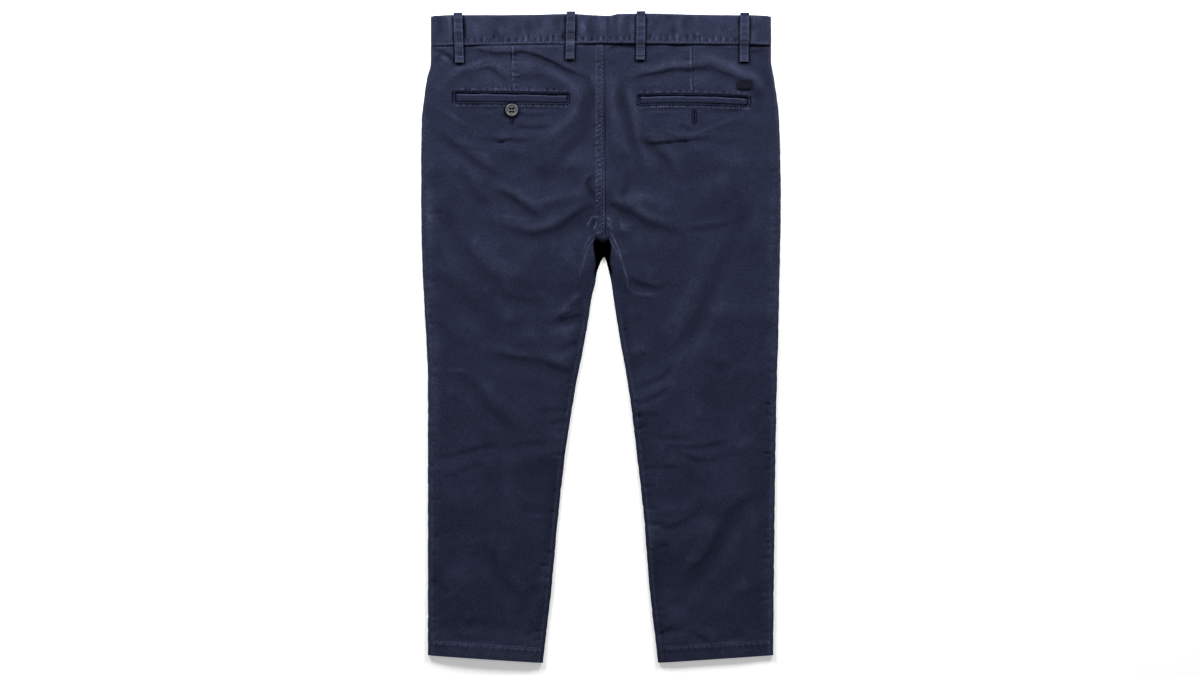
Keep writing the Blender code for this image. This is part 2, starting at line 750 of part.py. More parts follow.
def build_back_loop(name, x_top, x_foot, y_foot, back, band, material):
    seam = band.seam_y(abs(x_top))
    top = table_value(BAND_TOP, BAND_TOP_COLUMNS, "y", x_top)
    stations = []
    for y, under_gap, wall in (
        (y_foot, SEAM_GAP, 2 * LOOP_WALL),
        (y_foot + LOOP_FOOT, SEAM_GAP, 2 * LOOP_WALL),
        (y_foot + LOOP_FOOT + LOOP_FOLD, SEAM_GAP + LOOP_WALL, LOOP_WALL),
        (seam - LOOP_AT_SEAM, SEAM_GAP + LOOP_WALL, LOOP_WALL),
    ):
        under = highest_across(back.height, x_foot, y) + under_gap
        stations.append(((y, under), (y, under + wall)))
    for share in LOOP_ON_BAND:
        y = seam + share * (top - seam)
        bow = LOOP_BOW * math.sin(math.pi * share)
        under = highest_across(band.upper_built, x_top, y) + SEAM_GAP + bow
        stations.append(((y, under), (y, under + LOOP_WALL)))
    stations += top_hook(top, highest_across(band.upper_built, x_top, top))
    return loop_wall(x_top, x_foot, stations).build(name, material)


def build_front_loop(name, x_top, x_foot, y_foot, material):
    """A loop under the front: flat on the floor, as far as just short of the band's upper edge."""
    y_top = table_value(BAND_TOP, BAND_TOP_COLUMNS, "y", x_top) - FRONT_LOOP_INSET
    stations = [((y, LOOP_WALL), (y, 0.0)) for y in (y_foot, y_top)]
    return loop_wall(x_top, x_foot, stations).build(name, material)


def build_button(name, x, y, z, upward, material):
    """A four-hole button with a raised rim."""
    shape = bmesh.new()
    rings = []
    for radius_share, height_share in BUTTON_PROFILE:
        ring = []
        for step in range(BUTTON_SIDES):
            angle = 2 * math.pi * step / BUTTON_SIDES
            radius = BUTTON_RADIUS * radius_share
            height = BUTTON_HEIGHT * height_share
            place = (x + radius * math.cos(angle), y + radius * math.sin(angle), z + upward * height)
            ring.append(shape.verts.new([METRES * value for value in place]))
        rings.append(ring)
    for low, high in zip(rings, rings[1:]):
        for step in range(BUTTON_SIDES):
            after = (step + 1) % BUTTON_SIDES
            shape.faces.new((low[step], low[after], high[after], high[step]))
    shape.faces.new(rings[0])
    shape.faces.new(rings[-1])
    bmesh.ops.recalc_face_normals(shape, faces=shape.faces)
    mesh = bpy.data.meshes.new(name)
    shape.to_mesh(mesh)
    shape.free()
    button = bpy.data.objects.new(name, mesh)
    mesh.materials.append(material)
    bpy.context.collection.objects.link(button)
    for number, (across, along) in enumerate(((-1, -1), (-1, 1), (1, -1), (1, 1))):
        cutter = hole_cutter(
            f"{name}_hole_{number}",
            x + across * BUTTON_HOLE_OFFSET,
            y + along * BUTTON_HOLE_OFFSET,
            z + upward * BUTTON_HEIGHT / 2,
        )
        cut = button.modifiers.new(f"hole_{number}", "BOOLEAN")
        cut.operation = "DIFFERENCE"
        cut.solver = "EXACT"
        cut.object = cutter
    return button


def hole_cutter(name, x, y, z):
    """A round bar longer than a button is high."""
    shape = bmesh.new()
    radius = METRES * BUTTON_HOLE_RADIUS
    bmesh.ops.create_cone(
        shape,
        cap_ends=True,
        segments=BUTTON_HOLE_SIDES,
        radius1=radius,
        radius2=radius,
        depth=3 * METRES * BUTTON_HEIGHT,
    )
    bmesh.ops.translate(shape, verts=shape.verts, vec=(METRES * x, METRES * y, METRES * z))
    mesh = bpy.data.meshes.new(name)
    shape.to_mesh(mesh)
    shape.free()
    cutter = bpy.data.objects.new(name, mesh)
    bpy.context.collection.objects.link(cutter)
    cutter.hide_render = True
    cutter.display_type = "WIRE"
    return cutter


def build_pocket_button(back, material):
    x, y = POCKET_BUTTON_XY
    heights = []
    for step in range(BUTTON_SIDES):
        angle = 2 * math.pi * step / BUTTON_SIDES
        for radius in (0.0, BUTTON_RADIUS / 2, BUTTON_RADIUS):
            heights.append(back.height(x + radius * math.cos(angle), y + radius * math.sin(angle)))
    return build_button("pocket_button", x, y, max(heights) + SEAM_GAP, 1.0, material)


def build_patch(back, material):
    """A small plain label sewn on above the right pocket."""
    patch = Wall()
    around = (-PATCH_REACH, 0, PATCH_REACH)
    for row in range(PATCH_STEPS + 1):
        for column in range(PATCH_STEPS + 1):
            x = PATCH_CENTRE[0] + (column / PATCH_STEPS - 0.5) * PATCH_SIZE[0]
            y = PATCH_CENTRE[1] + (row / PATCH_STEPS - 0.5) * PATCH_SIZE[1]
            under = max(back.height(x + dx, y + dy) for dx in around for dy in around) + SEAM_GAP
            patch.point((row, column), (x, y, under + PATCH_WALL), (x, y, under))
    patch.grid_cells(range(PATCH_STEPS), range(PATCH_STEPS))
    return patch.build("label_patch", material)


def make_material(name, colour, roughness):
    material = bpy.data.materials.new(name)
    material.use_nodes = True
    shader = material.node_tree.nodes["Principled BSDF"]
    shader.inputs["Base Color"].default_value = (*colour, 1.0)
    shader.inputs["Roughness"].default_value = roughness
    shader.inputs["Metallic"].default_value = 0.0
    return material


def own_material(kind, node):
    colour, roughness = MATERIALS[kind]
    return make_material(f"{kind}_{node}", colour, roughness)


def main():
    for old in list(bpy.data.objects):
        bpy.data.objects.remove(old)
    bands, backs = {}, {}
    for side in SIDES:
        front = Front(side)
        front.build(own_material("twill_navy", "front_" + side))
        front.build_facing(own_material("twill_navy", "pocket_facing_" + side))
        backs[side] = Back(side)
        backs[side].build(own_material("twill_navy", "back_" + side))
        backs[side].build_welt(own_material("twill_navy", "pocket_welt_" + side))
        bands[side] = Band(side)
        bands[side].build(own_material("twill_navy", "waistband_" + side))
    for name, x_top, x_foot, y_foot in BACK_LOOPS:
        side = "left" if x_top < 0 else "right"
        twill = own_material("twill_navy", name)
        build_back_loop(name, x_top, x_foot, y_foot, backs[side], bands[side], twill)
    for name, x_top, x_foot, y_foot in FRONT_LOOPS:
        build_front_loop(name, x_top, x_foot, y_foot, own_material("twill_navy", name))
    build_pocket_button(backs["left"], own_material("button_charcoal", "pocket_button"))
    waist_x, waist_y = WAIST_BUTTON_XY
    button = own_material("button_charcoal", "waist_button")
    build_button("waist_button", waist_x, waist_y, BUTTON_HEIGHT, -1.0, button)
    build_patch(backs["right"], own_material("woven_patch", "label_patch"))


main()
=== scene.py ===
"""Looks of the chino trousers: dense cloth shells, sewing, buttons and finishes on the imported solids.

The garment lies on a floor with its back side up. Sizes are in millimetres in the frame's own axes:
X runs across, Y from the hems to the waist and Z up. Each side is worked out in its own coordinate m,
the distance from the middle of the garment towards the outer edge of that side.
"""

import math

import bmesh
import bpy
import numpy as np
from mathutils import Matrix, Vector


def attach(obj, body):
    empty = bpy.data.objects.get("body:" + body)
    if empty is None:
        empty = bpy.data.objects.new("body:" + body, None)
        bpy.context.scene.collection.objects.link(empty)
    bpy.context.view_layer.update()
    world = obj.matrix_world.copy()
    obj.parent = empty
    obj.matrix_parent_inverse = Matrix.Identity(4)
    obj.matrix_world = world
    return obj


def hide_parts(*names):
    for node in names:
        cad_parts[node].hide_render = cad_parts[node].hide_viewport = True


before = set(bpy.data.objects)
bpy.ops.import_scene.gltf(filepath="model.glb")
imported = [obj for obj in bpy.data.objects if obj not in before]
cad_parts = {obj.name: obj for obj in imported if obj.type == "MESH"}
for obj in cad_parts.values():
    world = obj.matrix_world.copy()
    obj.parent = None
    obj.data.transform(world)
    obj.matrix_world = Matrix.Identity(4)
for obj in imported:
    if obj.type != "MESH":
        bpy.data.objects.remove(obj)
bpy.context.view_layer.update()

MM = 0.001
# Larger than any distance on the garment
FAR = 99.0

# Cloth
CLOTH = 1.0
BAND_WALL = 1.4
BAND_STEP = 0.8
SEAM_GAP = 0.3
HALF_SEAM = 0.03
EDGE_HEIGHT = 3.0
EDGE_RADIUS = 1.5
BAND_EDGE_RADIUS = 1.9
LOWEST_UPPER = 2.35
SOFT_FLOOR = 0.35
SIDES = {"left": -1.0, "right": 1.0}

# Centre lines, crotch and seams
BACK_SEAM_X = 3.5
FRONT_SEAM_X = 2.7
BAND_SEAM_X = 5.5
BAND_OVERLAP_END_X = 12.7
WAIST_Y = 249.0
HALF_WIDTH = 147.0
CROTCH_Y = 84.0
CROTCH_FOLD_Y = 68.4
SEAM_COLUMNS = {"left": 18, "right": 8}
SEAT_SEAM_INNER = {"left": 6.3, "right": 8.2}
SIDE_STRIP = 2.8
INSEAM_STRIP = 2.8
HEM_LINE = {"left": (-263.9, -257.1), "right": (-262.6, -256.6)}

# Outer edge of each side, from waist to hem
OUTER_EDGE = {
    "y": (249, 235, 219, 202, 185, 159, 117, 74, 35, -5, -33, -128, -276.5),
    "left": (144.5, 144.5, 147.9, 150.5, 152.2, 152.8, 152.8, 152.2, 150.5, 148.3, 147.1, 147.1, 147.1),
    "right": (144.5, 144.5, 147.1, 149.6, 151.3, 152.2, 152.8, 152.2, 151.3, 150.5, 149.6, 147.9, 146.2),
}
# Folded inner edge of each leg, from the crotch fold to the hem
INNER_EDGE = {
    "y": (68.4, 65.9, 62.5, 55.7, 46, 35, 8, -46, -101, -155, -210, -276.5),
    "left": (-2.6, -0.4, 0.9, 3.4, 4.9, 7.7, 11.9, 22.1, 30.6, 36.6, 41.7, 49.3),
    "right": (2.8, 4.2, 5.1, 6.8, 8.9, 10.4, 14.5, 23.8, 30.6, 36.6, 40.9, 48.5),
}
# Inseam on the upper side, from the crotch to where it runs along the edge
INSEAM = {
    "y": (84, 77, 67.6, 57.4, 46.3, 36, 26.8, 18),
    "left": (6.3, 11, 14, 17, 18.7, 17.9, 15.3, 13.4),
    "right": (8.2, 11.4, 16.6, 19.6, 22, 21.3, 17.9, 16),
}
# Ridge of the seam allowance along it: rise, half width and how many points of it stand out
INSEAM_RIDGE = {"left": (0.45, 0.9, 5), "right": (0.9, 1.7, 6)}
# Where the lit strip beside the crotch drops into the painted shadow deep in it
PIT_EDGE = {
    "y": (84, 76, 68.4, 62, 55.7, 50),
    "left": (6.0, 5.6, 4.6, 3.9, 4.3, 5.0),
    "right": (7.9, 8.0, 7.3, 7.0, 7.5, 8.6),
}
PIT_FLOOR = 1.3
PIT_WALL = 1.3

# Rows across each side: y at the middle and at the outer edges
ROW_LINES = {
    "waist seam": (249.4, 247.3, 248.2),
    "pocket mouth": (205.5, 208.2, 203.0),
    "pocket base": (198.8, 200.6, 197.0),
    "side pocket end": (161.0, 162.0, 161.0),
    "crotch": (84.0, 84.0, 84.0),
    "crotch fold": (68.4, 69.0, 69.0),
    "fold end": (35.0, 35.0, 35.0),
    "hem line": (-263.5, -257.1, -257.1),
    "hem": (-276.2, -269.9, -269.9),
}
# How many rows of points lead down to each line from the one above it
ROW_STEPS = {"pocket mouth": 40, "pocket base": 7, "side pocket end": 28, "crotch": 58, "crotch fold": 14,
             "fold end": 26, "hem line": 205, "hem": 12}

# Welt pockets: m of the outer and inner end, and how far the middle bows up
POCKETS = {"left": (123.6, 28.5, 0.0), "right": (124.6, 33.0, 1.1)}
POCKET_SLIT = 0.805
WELT_PROUD = 0.45
WELT_WALL = 1.4
STITCH_BOX = {"left": (126.0, 26.7), "right": (127.0, 31.1)}
# Sewn and bent lines along a welt pocket: beside which row line, rise, half width above and below,
# how far above that line, how soon they fade at their ends and how uneven they are
POCKET_LINES = (
    ("base", 0.45, 1.0, 1.6, -3.0, 0.03, 0.3),
    ("base", -0.5, 0.6, 0.6, -1.9, 0.03, 0.1),
    ("mouth", -0.35, 0.6, 0.6, 1.7, 0.03, 0.1),
    ("base", -0.45, 1.6, 1.4, -5.2, 0.12, 0.5),
    ("mouth", 0.3, 1.6, 1.6, 2.9, 0.05, 0.2),
)
# Darts of the yoke, each with how far beside it the cloth bulges
DARTS = (
    (((-76.7, 249), (-76.4, 235), (-76.1, 220), (-76.0, 209)), 1.5),
    (((77.2, 248), (77.6, 235), (78.0, 220), (78.4, 207)), -1.3),
)

# Side pocket of the under side, and how far its facing laps under the front at the end of the slant
SLANT_TOP_M = 116.0
SLANT_END_INSET = 6.0
SLANT_END_Y = 162.0
LAP = 1.6
# Fly stitching of the under side, with x from the front seam
FLY_CURVE = ((26, 246), (26, 190), (21, 165), (10, 150), (1.5, 145))

# Fullness of the cloth down the garment, and how steeply it sets in from the edges
FULLNESS = {"y": (249, 200, 150, 84, 0, -150, -276), "rise": (2.0, 1.7, 2.0, 1.8, 1.7, 1.5, 1.2)}
OUTER_SLOPE = 16.0
INNER_SLOPE = 9.0
FOLD_FADE = 9.0

# Waistband: height, top edge, and upright folds beside its centre seam: x, rise and half width
BAND_HEIGHT = 25
BAND_TOP = {
    "x": (-144.5, -141, -60, -25, -8, 7, 15, 45, 75, 141, 144.5),
    "y": (271.6, 273.3, 273.9, 274.7, 273.6, 272.9, 274.4, 274.8, 274.0, 273.3, 271.6),
}
BAND_SEAM_LINES = (
    (5.6, -0.2, 0.8), (12.6, -0.35, 1.8), (8.6, 0.2, 1.6), (17.5, 0.25, 2.4), (-1.0, 0.25, 3.0),
    (-7.0, -0.35, 2.0), (22.5, -0.3, 2.2),
)

# Belt loops: x at the top, x and y at the foot
BACK_LOOPS = {
    "belt_loop_back_1": (-121.3, -120.0, 233.0),
    "belt_loop_back_2": (-25.5, -26.4, 235.9),
    "belt_loop_back_3": (33.9, 33.4, 235.4),
    "belt_loop_back_4": (121.9, 121.3, 233.8),
}
FRONT_LOOPS = {
    "belt_loop_front_1": (-61.0, 236.0),
    "belt_loop_front_2": (66.0, 236.0),
}
LOOP_WIDTH = 7.6
LOOP_WALL = 1.0
LOOP_FOOT = 5.5
LOOP_SHOULDER = 0.8
LOOP_RAMP = 5.0
# Seams along a loop, as a share of its half width
LOOP_STITCH = 0.62

# Where the threads of the waistband and hems begin on each side, and how high they lie
BAND_THREAD_START = {"left": (-4.5, -11.5), "right": (6.5, 14.0)}
BAND_THREAD_RISE = 1.6
BAND_THREAD_SINK = 0.14
HEM_THREAD_START = {"left": 51.5, "right": 50.0}
POCKET_THREAD_LIFT = 0.16
FLOOR_THREAD_LIFT = 0.05

# Buttons, buttonholes and patch
BUTTON_RADIUS = 5.7
BUTTON_SHARE = 0.955
BUTTON_HEIGHT = 2.0
BUTTON_HOLE_RADIUS = 1.05
BUTTON_HOLE_M = 1.35
# Radius and height along a button's face, as shares of its own
BUTTON_PROFILE = (
    (0.0, 0.0), (0.84, 0.0), (0.95, 0.1), (1.0, 0.3), (1.0, 0.62), (0.975, 0.84), (0.93, 0.96),
    (0.87, 1.0), (0.79, 0.985), (0.73, 0.9), (0.69, 0.8), (0.6, 0.75), (0.53, 0.77), (0.47, 0.82),
    (0.42, 0.8), (0.36, 0.72), (0.0, 0.7),
)
# x, and y of the upper and lower end
BUTTONHOLES = {"right": (79.2, 191.6, 181.6), "left": (-75.4, 191.0, 182.0)}
POCKET_BUTTON_XY = (-75.6, 192.8)
WAIST_BUTTON_XY = (2.7, 261.3)
BUTTON_LIFT_RADIUS = 8.9
BUTTON_LIFT_END = 15.0
PATCH_CENTRE = (121.3, 214.7)
PATCH_SIZE = (13.2, 8.2)

# Creases, each along its route from left to right: rise of its middle line (a trough is negative),
# half width above the line and half width below it. A high line that is broad above and narrow below
# is cloth that laps down over itself.
CREASES = {
    # yoke, left
    "yoke left": (-2.3, 1.8, 5.0, ((-118, 243), (-105, 242.7), (-98.5, 240.5), (-90, 239), (-81.5, 239.2),
        (-69.6, 240.8), (-61, 239.6), (-52.6, 237), (-44, 233.3), (-37.3, 230), (-30.4, 226.4), (-22, 223),
        (-12, 219.5), (-6, 215))),
    "yoke left down": (-2.1, 2.8, 3.2, ((-16, 224), (-11.5, 216), (-8.5, 208), (-8, 200), (-8, 186))),
    "centre left hollow": (-1.8, 6.0, 5.0, ((-43, 140), (-32, 153), (-22, 163.6), (-15, 174), (-12.5, 186),
        (-12.5, 200), (-11, 216))),
    "centre left pit": (-1.3, 2.2, 2.2, ((-11, 177), (-7.5, 179), (-4, 180.5))),
    "side by loop 1": (-2.3, 1.6, 2.2, ((-154, 248), (-147, 246), (-140.3, 243.5), (-133, 240.5),
        (-125, 235), (-117, 230))),
    "side by loop 2": (-2.6, 2.2, 2.2, ((-156, 222), (-149, 227), (-144, 230.5), (-140.7, 234), (-137, 239),
        (-133, 245))),
    "side by loop 3": (1.4, 1.8, 1.8, ((-155, 238), (-147, 238.5), (-141, 239.5), (-134, 237.5),
        (-127, 231))),
    "loop wedge": (-1.0, 2.2, 3.0, ((-119, 230), (-110, 234), (-102, 237.8), (-96, 240))),
    "over pocket left": (-1.4, 2.2, 4.2, ((-110, 222), (-104, 225), (-96, 227.6), (-91.3, 225.8),
        (-85.6, 220.9), (-80.8, 216), (-76, 210))),
    "over pocket left 2": (-0.8, 4.0, 5.0, ((-76, 219), (-62, 219), (-44, 218))),
    "ring left top": (1.0, 5.0, 4.0, ((-142, 200), (-137, 211), (-129, 219.7), (-119, 226.5), (-107, 231.6),
        (-91, 233.5))),
    "ring left low": (0.9, 2.6, 2.6, ((-141, 199), (-134, 194), (-127, 189), (-121, 185), (-112, 180),
        (-100, 175.5), (-88, 173.5))),
    "ring left inner": (1.0, 4.5, 5.0, ((-62, 232), (-50, 230), (-39, 225), (-28.7, 216), (-22, 207.8),
        (-18.5, 199), (-22, 191), (-27, 184), (-35.5, 177), (-46, 170.5), (-60, 162.5))),
    # under the left pocket and the left hip
    "left pocket below 1": (-0.8, 1.6, 2.6, ((-128, 195), (-120, 187.5), (-112, 181.5), (-104, 176.5),
        (-90, 172))),
    "left pocket below 2": (-0.6, 1.5, 3.0, ((-72, 190.5), (-60, 188), (-47.5, 188), (-36, 191),
        (-28, 195))),
    "left pocket below 3": (-0.5, 1.5, 2.5, ((-75, 179), (-60, 178), (-36, 180.5))),
    "left pocket crease": (-1.2, 1.8, 3.4, ((-103, 168.5), (-95, 167.8), (-90, 166.3), (-84, 165.8),
        (-78, 167), (-66, 166.3), (-52, 167.5))),
    "left hip thin": (-0.6, 1.5, 2.0, ((-130, 163), (-113.8, 160), (-100, 158.3), (-90, 158))),
    "left hip diagonal": (-1.2, 3.2, 4.2, ((-146, 177), (-134, 169), (-122, 159), (-112, 151), (-102, 144),
        (-91, 138), (-74, 128))),
    "left hip lit": (0.6, 5.0, 5.0, ((-124, 172), (-108, 160), (-92, 150))),
    "left hip diagonal 2": (-1.1, 5.5, 6.5, ((-124, 146), (-112, 128), (-103, 116), (-90, 105))),
    # left seat
    "left seat diagonal": (1.1, 9.0, 4.5, ((-97, 131), (-80.3, 125.5), (-71.8, 121), (-61.6, 113.5),
        (-54.8, 108.5), (-42, 103))),
    "left seat dark": (-0.9, 3.2, 6.0, ((-96, 125), (-81, 120), (-72, 115), (-62, 107.5), (-55, 102.5),
        (-42, 98))),
    "left seat smile": (1.25, 9.0, 6.0, ((-104, 100.5), (-81.5, 99), (-66, 95), (-57.7, 94), (-47.5, 95.5),
        (-36.5, 100), (-26, 107), (-18.5, 111.5), (-9, 117.5), (2, 124))),
    "left smile floor": (-1.2, 4.6, 8.0, ((-86, 91), (-70, 87.5), (-57.7, 85.6), (-46.5, 87), (-34.5, 91),
        (-24.5, 97.5), (-17, 102), (-8, 108), (3, 116))),
    "left seat lip": (0.5, 1.6, 1.6, ((-95, 102), (-80, 101.8), (-66, 100), (-54, 98.5))),
    "left seat puff": (1.0, 6.0, 5.0, ((-62, 111.5), (-39, 117.5), (-22, 121), (-7, 123))),
    "left seat hollow": (-1.2, 9.0, 9.0, ((-64, 131), (-45, 137), (-32, 138.5), (-12, 137))),
    "left seam dent": (-1.7, 2.4, 2.4, ((-4.5, 139), (-9, 132.5), (-11, 128), (-9, 122.5), (-4.5, 113))),
    "left seam lit": (0.7, 1.8, 1.8, ((-15, 130), (-12, 136), (-7, 142))),
    # yoke, right
    "yoke right": (1.3, 6.5, 3.6, ((13, 221.5), (30.8, 224), (39.3, 226.4), (49.5, 228), (59.7, 230.6),
        (70, 231.4), (87, 232.4), (94.5, 232), (102, 228.3), (109, 226), (116, 222.7), (123, 219),
        (129.5, 216.5), (135.5, 208.5), (138, 194))),
    "yoke right floor": (-1.15, 1.6, 3.6, ((10, 212), (20, 217), (30, 219), (40, 221.3), (50, 223),
        (60, 225.5), (72, 226.5), (88, 227), (97, 225), (108, 220.5), (120, 214.5), (131, 210))),
    "yoke right rim": (1.2, 5.0, 4.0, ((60, 235), (80, 238.4), (93.7, 236.7), (107.3, 231.6), (117.5, 226.5),
        (127.7, 221.4), (134.5, 217), (141.3, 207.8), (145, 192))),
    "yoke right side": (-0.9, 4.0, 4.0, ((131, 212), (134.5, 200), (132, 185))),
    "under band right 1": (-0.8, 1.1, 1.4, ((12, 246.3), (33, 246), (60, 245.6))),
    "under band right 2": (-0.8, 1.1, 1.5, ((82, 246.4), (101, 245.4), (116, 244))),
    "under band right 3": (-1.1, 1.4, 2.2, ((124, 240.5), (133, 242.5), (146, 245.5))),
    "under band right 4": (-0.7, 2.0, 2.6, ((127, 238.5), (136, 239.5), (147, 239))),
    "centre top 1": (-0.8, 1.3, 2.0, ((3.6, 242), (8, 244.3), (15, 248))),
    "centre top 2": (-0.5, 1.5, 1.8, ((4, 232.5), (9, 232), (15, 230.5))),
    "dart blob right": (0.7, 2.6, 2.6, ((64, 244), (71, 244), (77, 243.5))),
    "dart dent right": (-0.8, 1.1, 1.6, ((66, 236.5), (71.5, 236.2), (77, 236.8))),
    "centre right down": (-1.7, 4.0, 4.5, ((16, 224), (18, 213), (17.5, 201), (20, 190.8), (23, 180.6),
        (26, 168.7), (30, 156.8), (38, 136))),
    "centre right lit": (0.8, 3.6, 3.6, ((24, 214), (25.5, 203), (29, 192), (35, 182))),
    "centre right broad": (0.7, 4.5, 4.5, ((10, 232), (9.5, 208), (10, 182), (13, 158), (16, 146))),
    # under the right pocket
    "centre right fork": (-1.5, 4.0, 5.0, ((30, 176), (40, 163), (48, 156), (55, 148), (61, 138),
        (73, 126))),
    "right pocket below 1": (-0.7, 1.5, 3.0, ((82, 194), (94.5, 190.8), (107, 190.8), (124, 194))),
    "right pocket below 2": (-0.4, 1.5, 2.5, ((44, 188.5), (54, 188), (62, 189.5))),
    "right pocket below 3": (-0.8, 1.5, 2.4, ((64, 179.5), (71, 177.5), (79, 174.5))),
    "right pocket bright": (0.7, 1.9, 1.9, ((44, 184), (52.9, 177.2), (61.4, 173), (70, 171.2), (81.8, 173),
        (97, 179), (114, 185.7), (128, 193))),
    "right pocket crease": (-1.4, 1.8, 3.6, ((31, 172), (39.3, 164.5), (49.5, 163.8), (59.7, 165.3),
        (70, 165.5), (83.5, 167), (104, 169))),
    "right pocket crease 2": (-0.6, 1.8, 3.0, ((92, 165.5), (106, 164.5), (121, 168.5))),
    "left button wrinkle 1": (-0.9, 1.4, 1.6, ((-100, 194.8), (-94, 193.2), (-87.5, 194))),
    "left button wrinkle 2": (-0.8, 1.4, 1.4, ((-86.5, 188), (-83, 187.6), (-79.5, 186))),
    "left button wrinkle 3": (-0.8, 1.8, 2.0, ((-71, 191), (-67.5, 188.5), (-63, 187.5))),
    "left button wrinkle 4": (-0.9, 1.4, 2.2, ((-75, 179.5), (-66, 177.6), (-54, 177), (-41, 178.4))),
    "right seat hollow": (-0.7, 7.0, 8.0, ((60, 133), (78, 135), (96, 141), (120, 143))),
    # right seat
    "right seat hook": (-1.3, 2.8, 2.8, ((21, 142), (22.5, 133), (21, 124.4), (14, 115))),
    "right seat dent": (-1.0, 1.8, 1.8, ((6, 111), (10.4, 110.5), (15, 109.5))),
    "right seat smile": (1.2, 9.0, 6.0, ((-2, 127), (10, 120), (20, 115), (28.4, 110.8), (37, 105.8),
        (45.5, 101.3), (54, 98.5), (66, 93.5))),
    "right smile floor": (-1.25, 4.8, 8.0, ((-2, 118), (9, 111.5), (18, 106.5), (26.5, 102), (35, 97),
        (43.5, 93), (53, 90.5), (66, 86.5), (78, 83))),
    "right seat puff": (1.0, 7.0, 6.0, ((18, 120), (33, 119), (48, 114.5), (66, 106))),
    "right crotch fan": (1.1, 4.5, 5.5, ((1, 106), (9, 101), (17, 95), (28, 90))),
    "right crotch fan 2": (1.1, 2.4, 2.4, ((4, 100), (9, 92.5), (14, 85))),
    "right seat far lit": (0.6, 1.8, 1.8, ((73, 95), (88.6, 97.2), (111, 101))),
    "right seat far": (-0.8, 1.8, 3.0, ((70, 91), (86.9, 91), (100, 93), (116, 97.5))),
    # left thigh
    "left thigh diagonal": (-1.3, 7.0, 9.0, ((-152, 116), (-135, 106), (-123, 83), (-114, 69), (-105, 58),
        (-95, 49), (-80, 40))),
    "left thigh lit": (0.85, 11.0, 11.0, ((-112, 92), (-98, 72), (-83, 58), (-62, 44))),
    "left thigh low": (-1.1, 8.0, 9.0, ((-150, 64), (-132, 44), (-114, 28), (-101, 17), (-93, 5),
        (-92, -12))),
    "left thigh dot": (-0.8, 1.8, 1.8, ((-150, 106), (-141, 105.5), (-131, 106.5))),
    "left thigh spot": (0.5, 4.0, 4.0, ((-103, 40.5), (-96, 40.5), (-88, 41))),
    "left thigh hollow": (-0.9, 5.0, 6.0, ((-89, 34), (-69.6, 30), (-58, 28), (-40, 24))),
    "left thigh 3": (0.7, 9.0, 7.0, ((-92, 36), (-80, 20), (-74, 8))),
    "left thigh 4": (-0.7, 5.0, 5.0, ((-140, 15), (-132, 3), (-126, -8))),
    "left inner crease": (-4.2, 3.6, 4.0, ((-44, 8), (-34, 12.2), (-26, 15), (-18, 17), (-4, 12), (6, 8))),
    "left inner lip": (1.3, 3.4, 3.0, ((-42, 16), (-33, 22), (-27, 29), (-20, 34), (-4, 40))),
    "left inner dark": (-1.3, 2.4, 2.4, ((-20.5, 46), (-15, 35), (-9, 25))),
    # right thigh
    "right thigh smile": (-1.9, 2.7, 3.2, ((23, 54), (29.5, 45.5), (38.8, 42), (47.8, 40.3), (59, 44.5))),
    "right thigh hook": (1.2, 2.0, 3.0, ((20, 50), (24, 41.5), (30, 37), (37.6, 36), (52, 38))),
    "right thigh diagonal": (-2.0, 6.0, 8.0, ((42, -19), (51, -17), (60, -13), (67, -6), (74, 2), (80, 10),
        (85, 19), (89, 30), (94, 45), (102, 62), (110, 84))),
    "right thigh lit": (1.1, 9.0, 9.0, ((36, -2), (54, 6), (67, 22), (77, 42), (86, 66), (98, 90))),
    "right thigh diagonal 2": (-0.9, 6.0, 7.0, ((96, 48), (106, 72), (116, 92), (130, 118))),
    "right thigh 3": (-1.0, 3.0, 3.0, ((14, 10), (25.7, 14), (38, 19))),
    "right thigh 3 lit": (0.6, 2.5, 2.5, ((18, 21), (30.8, 23.5), (41, 24.5))),
    # knees
    "left knee puff": (1.0, 9.0, 8.0, ((-74, 5), (-52, 2), (-36, 4), (-16, 10))),
    "left knee fold": (1.35, 11.0, 5.5, ((-100, -4), (-87, -9.5), (-76.4, -12.2), (-62.8, -13.8),
        (-52.6, -14.8), (-42.4, -18), (-32, -22), (-14, -26))),
    "left knee floor": (-1.3, 4.0, 7.0, ((-100, -11), (-76.4, -19), (-62.8, -21), (-50, -23), (-40, -26.5),
        (-30, -30), (-14, -32))),
    "left knee broad": (-1.0, 9.0, 7.0, ((-104, 8), (-90, -2), (-76, -9), (-60, -13), (-44, -17))),
    "left knee branch": (-1.8, 3.0, 3.0, ((-42, -16), (-33, -10.5), (-25, -7), (-16, -4), (-4, 0))),
    "left knee lit": (0.8, 2.4, 2.4, ((-35, -18), (-25, -15.5), (-15, -11.5))),
    "right knee puff": (1.4, 9.0, 7.0, ((17, -11), (33, -10), (50, -7))),
    "right knee 1": (-1.7, 3.0, 2.0, ((21, -46), (31, -44.5), (36.5, -41.3), (43.5, -38.8), (54, -33.5),
        (65, -20))),
    "right knee 2": (-1.5, 3.0, 2.0, ((21, -59), (28, -57.2), (40, -54), (50.3, -49), (63, -40))),
    "right knee spot": (-0.8, 4.0, 4.0, ((18, -25), (27, -25), (37, -26))),
    "right knee far": (-0.8, 5.0, 5.0, ((94, -31), (109.5, -24), (126, -14))),
    "right knee hollow": (-0.9, 10.0, 10.0, ((80, -60), (100, -52), (122, -46))),
    # calves
    "left calf nick": (1.6, 1.3, 1.3, ((-131, -28.5), (-122, -28.3), (-112, -29.5))),
    "left calf diagonal": (-1.3, 5.0, 7.0, ((-136, -33), (-124, -35), (-112, -40), (-105, -49), (-98, -58),
        (-89, -68), (-79, -77), (-64, -86))),
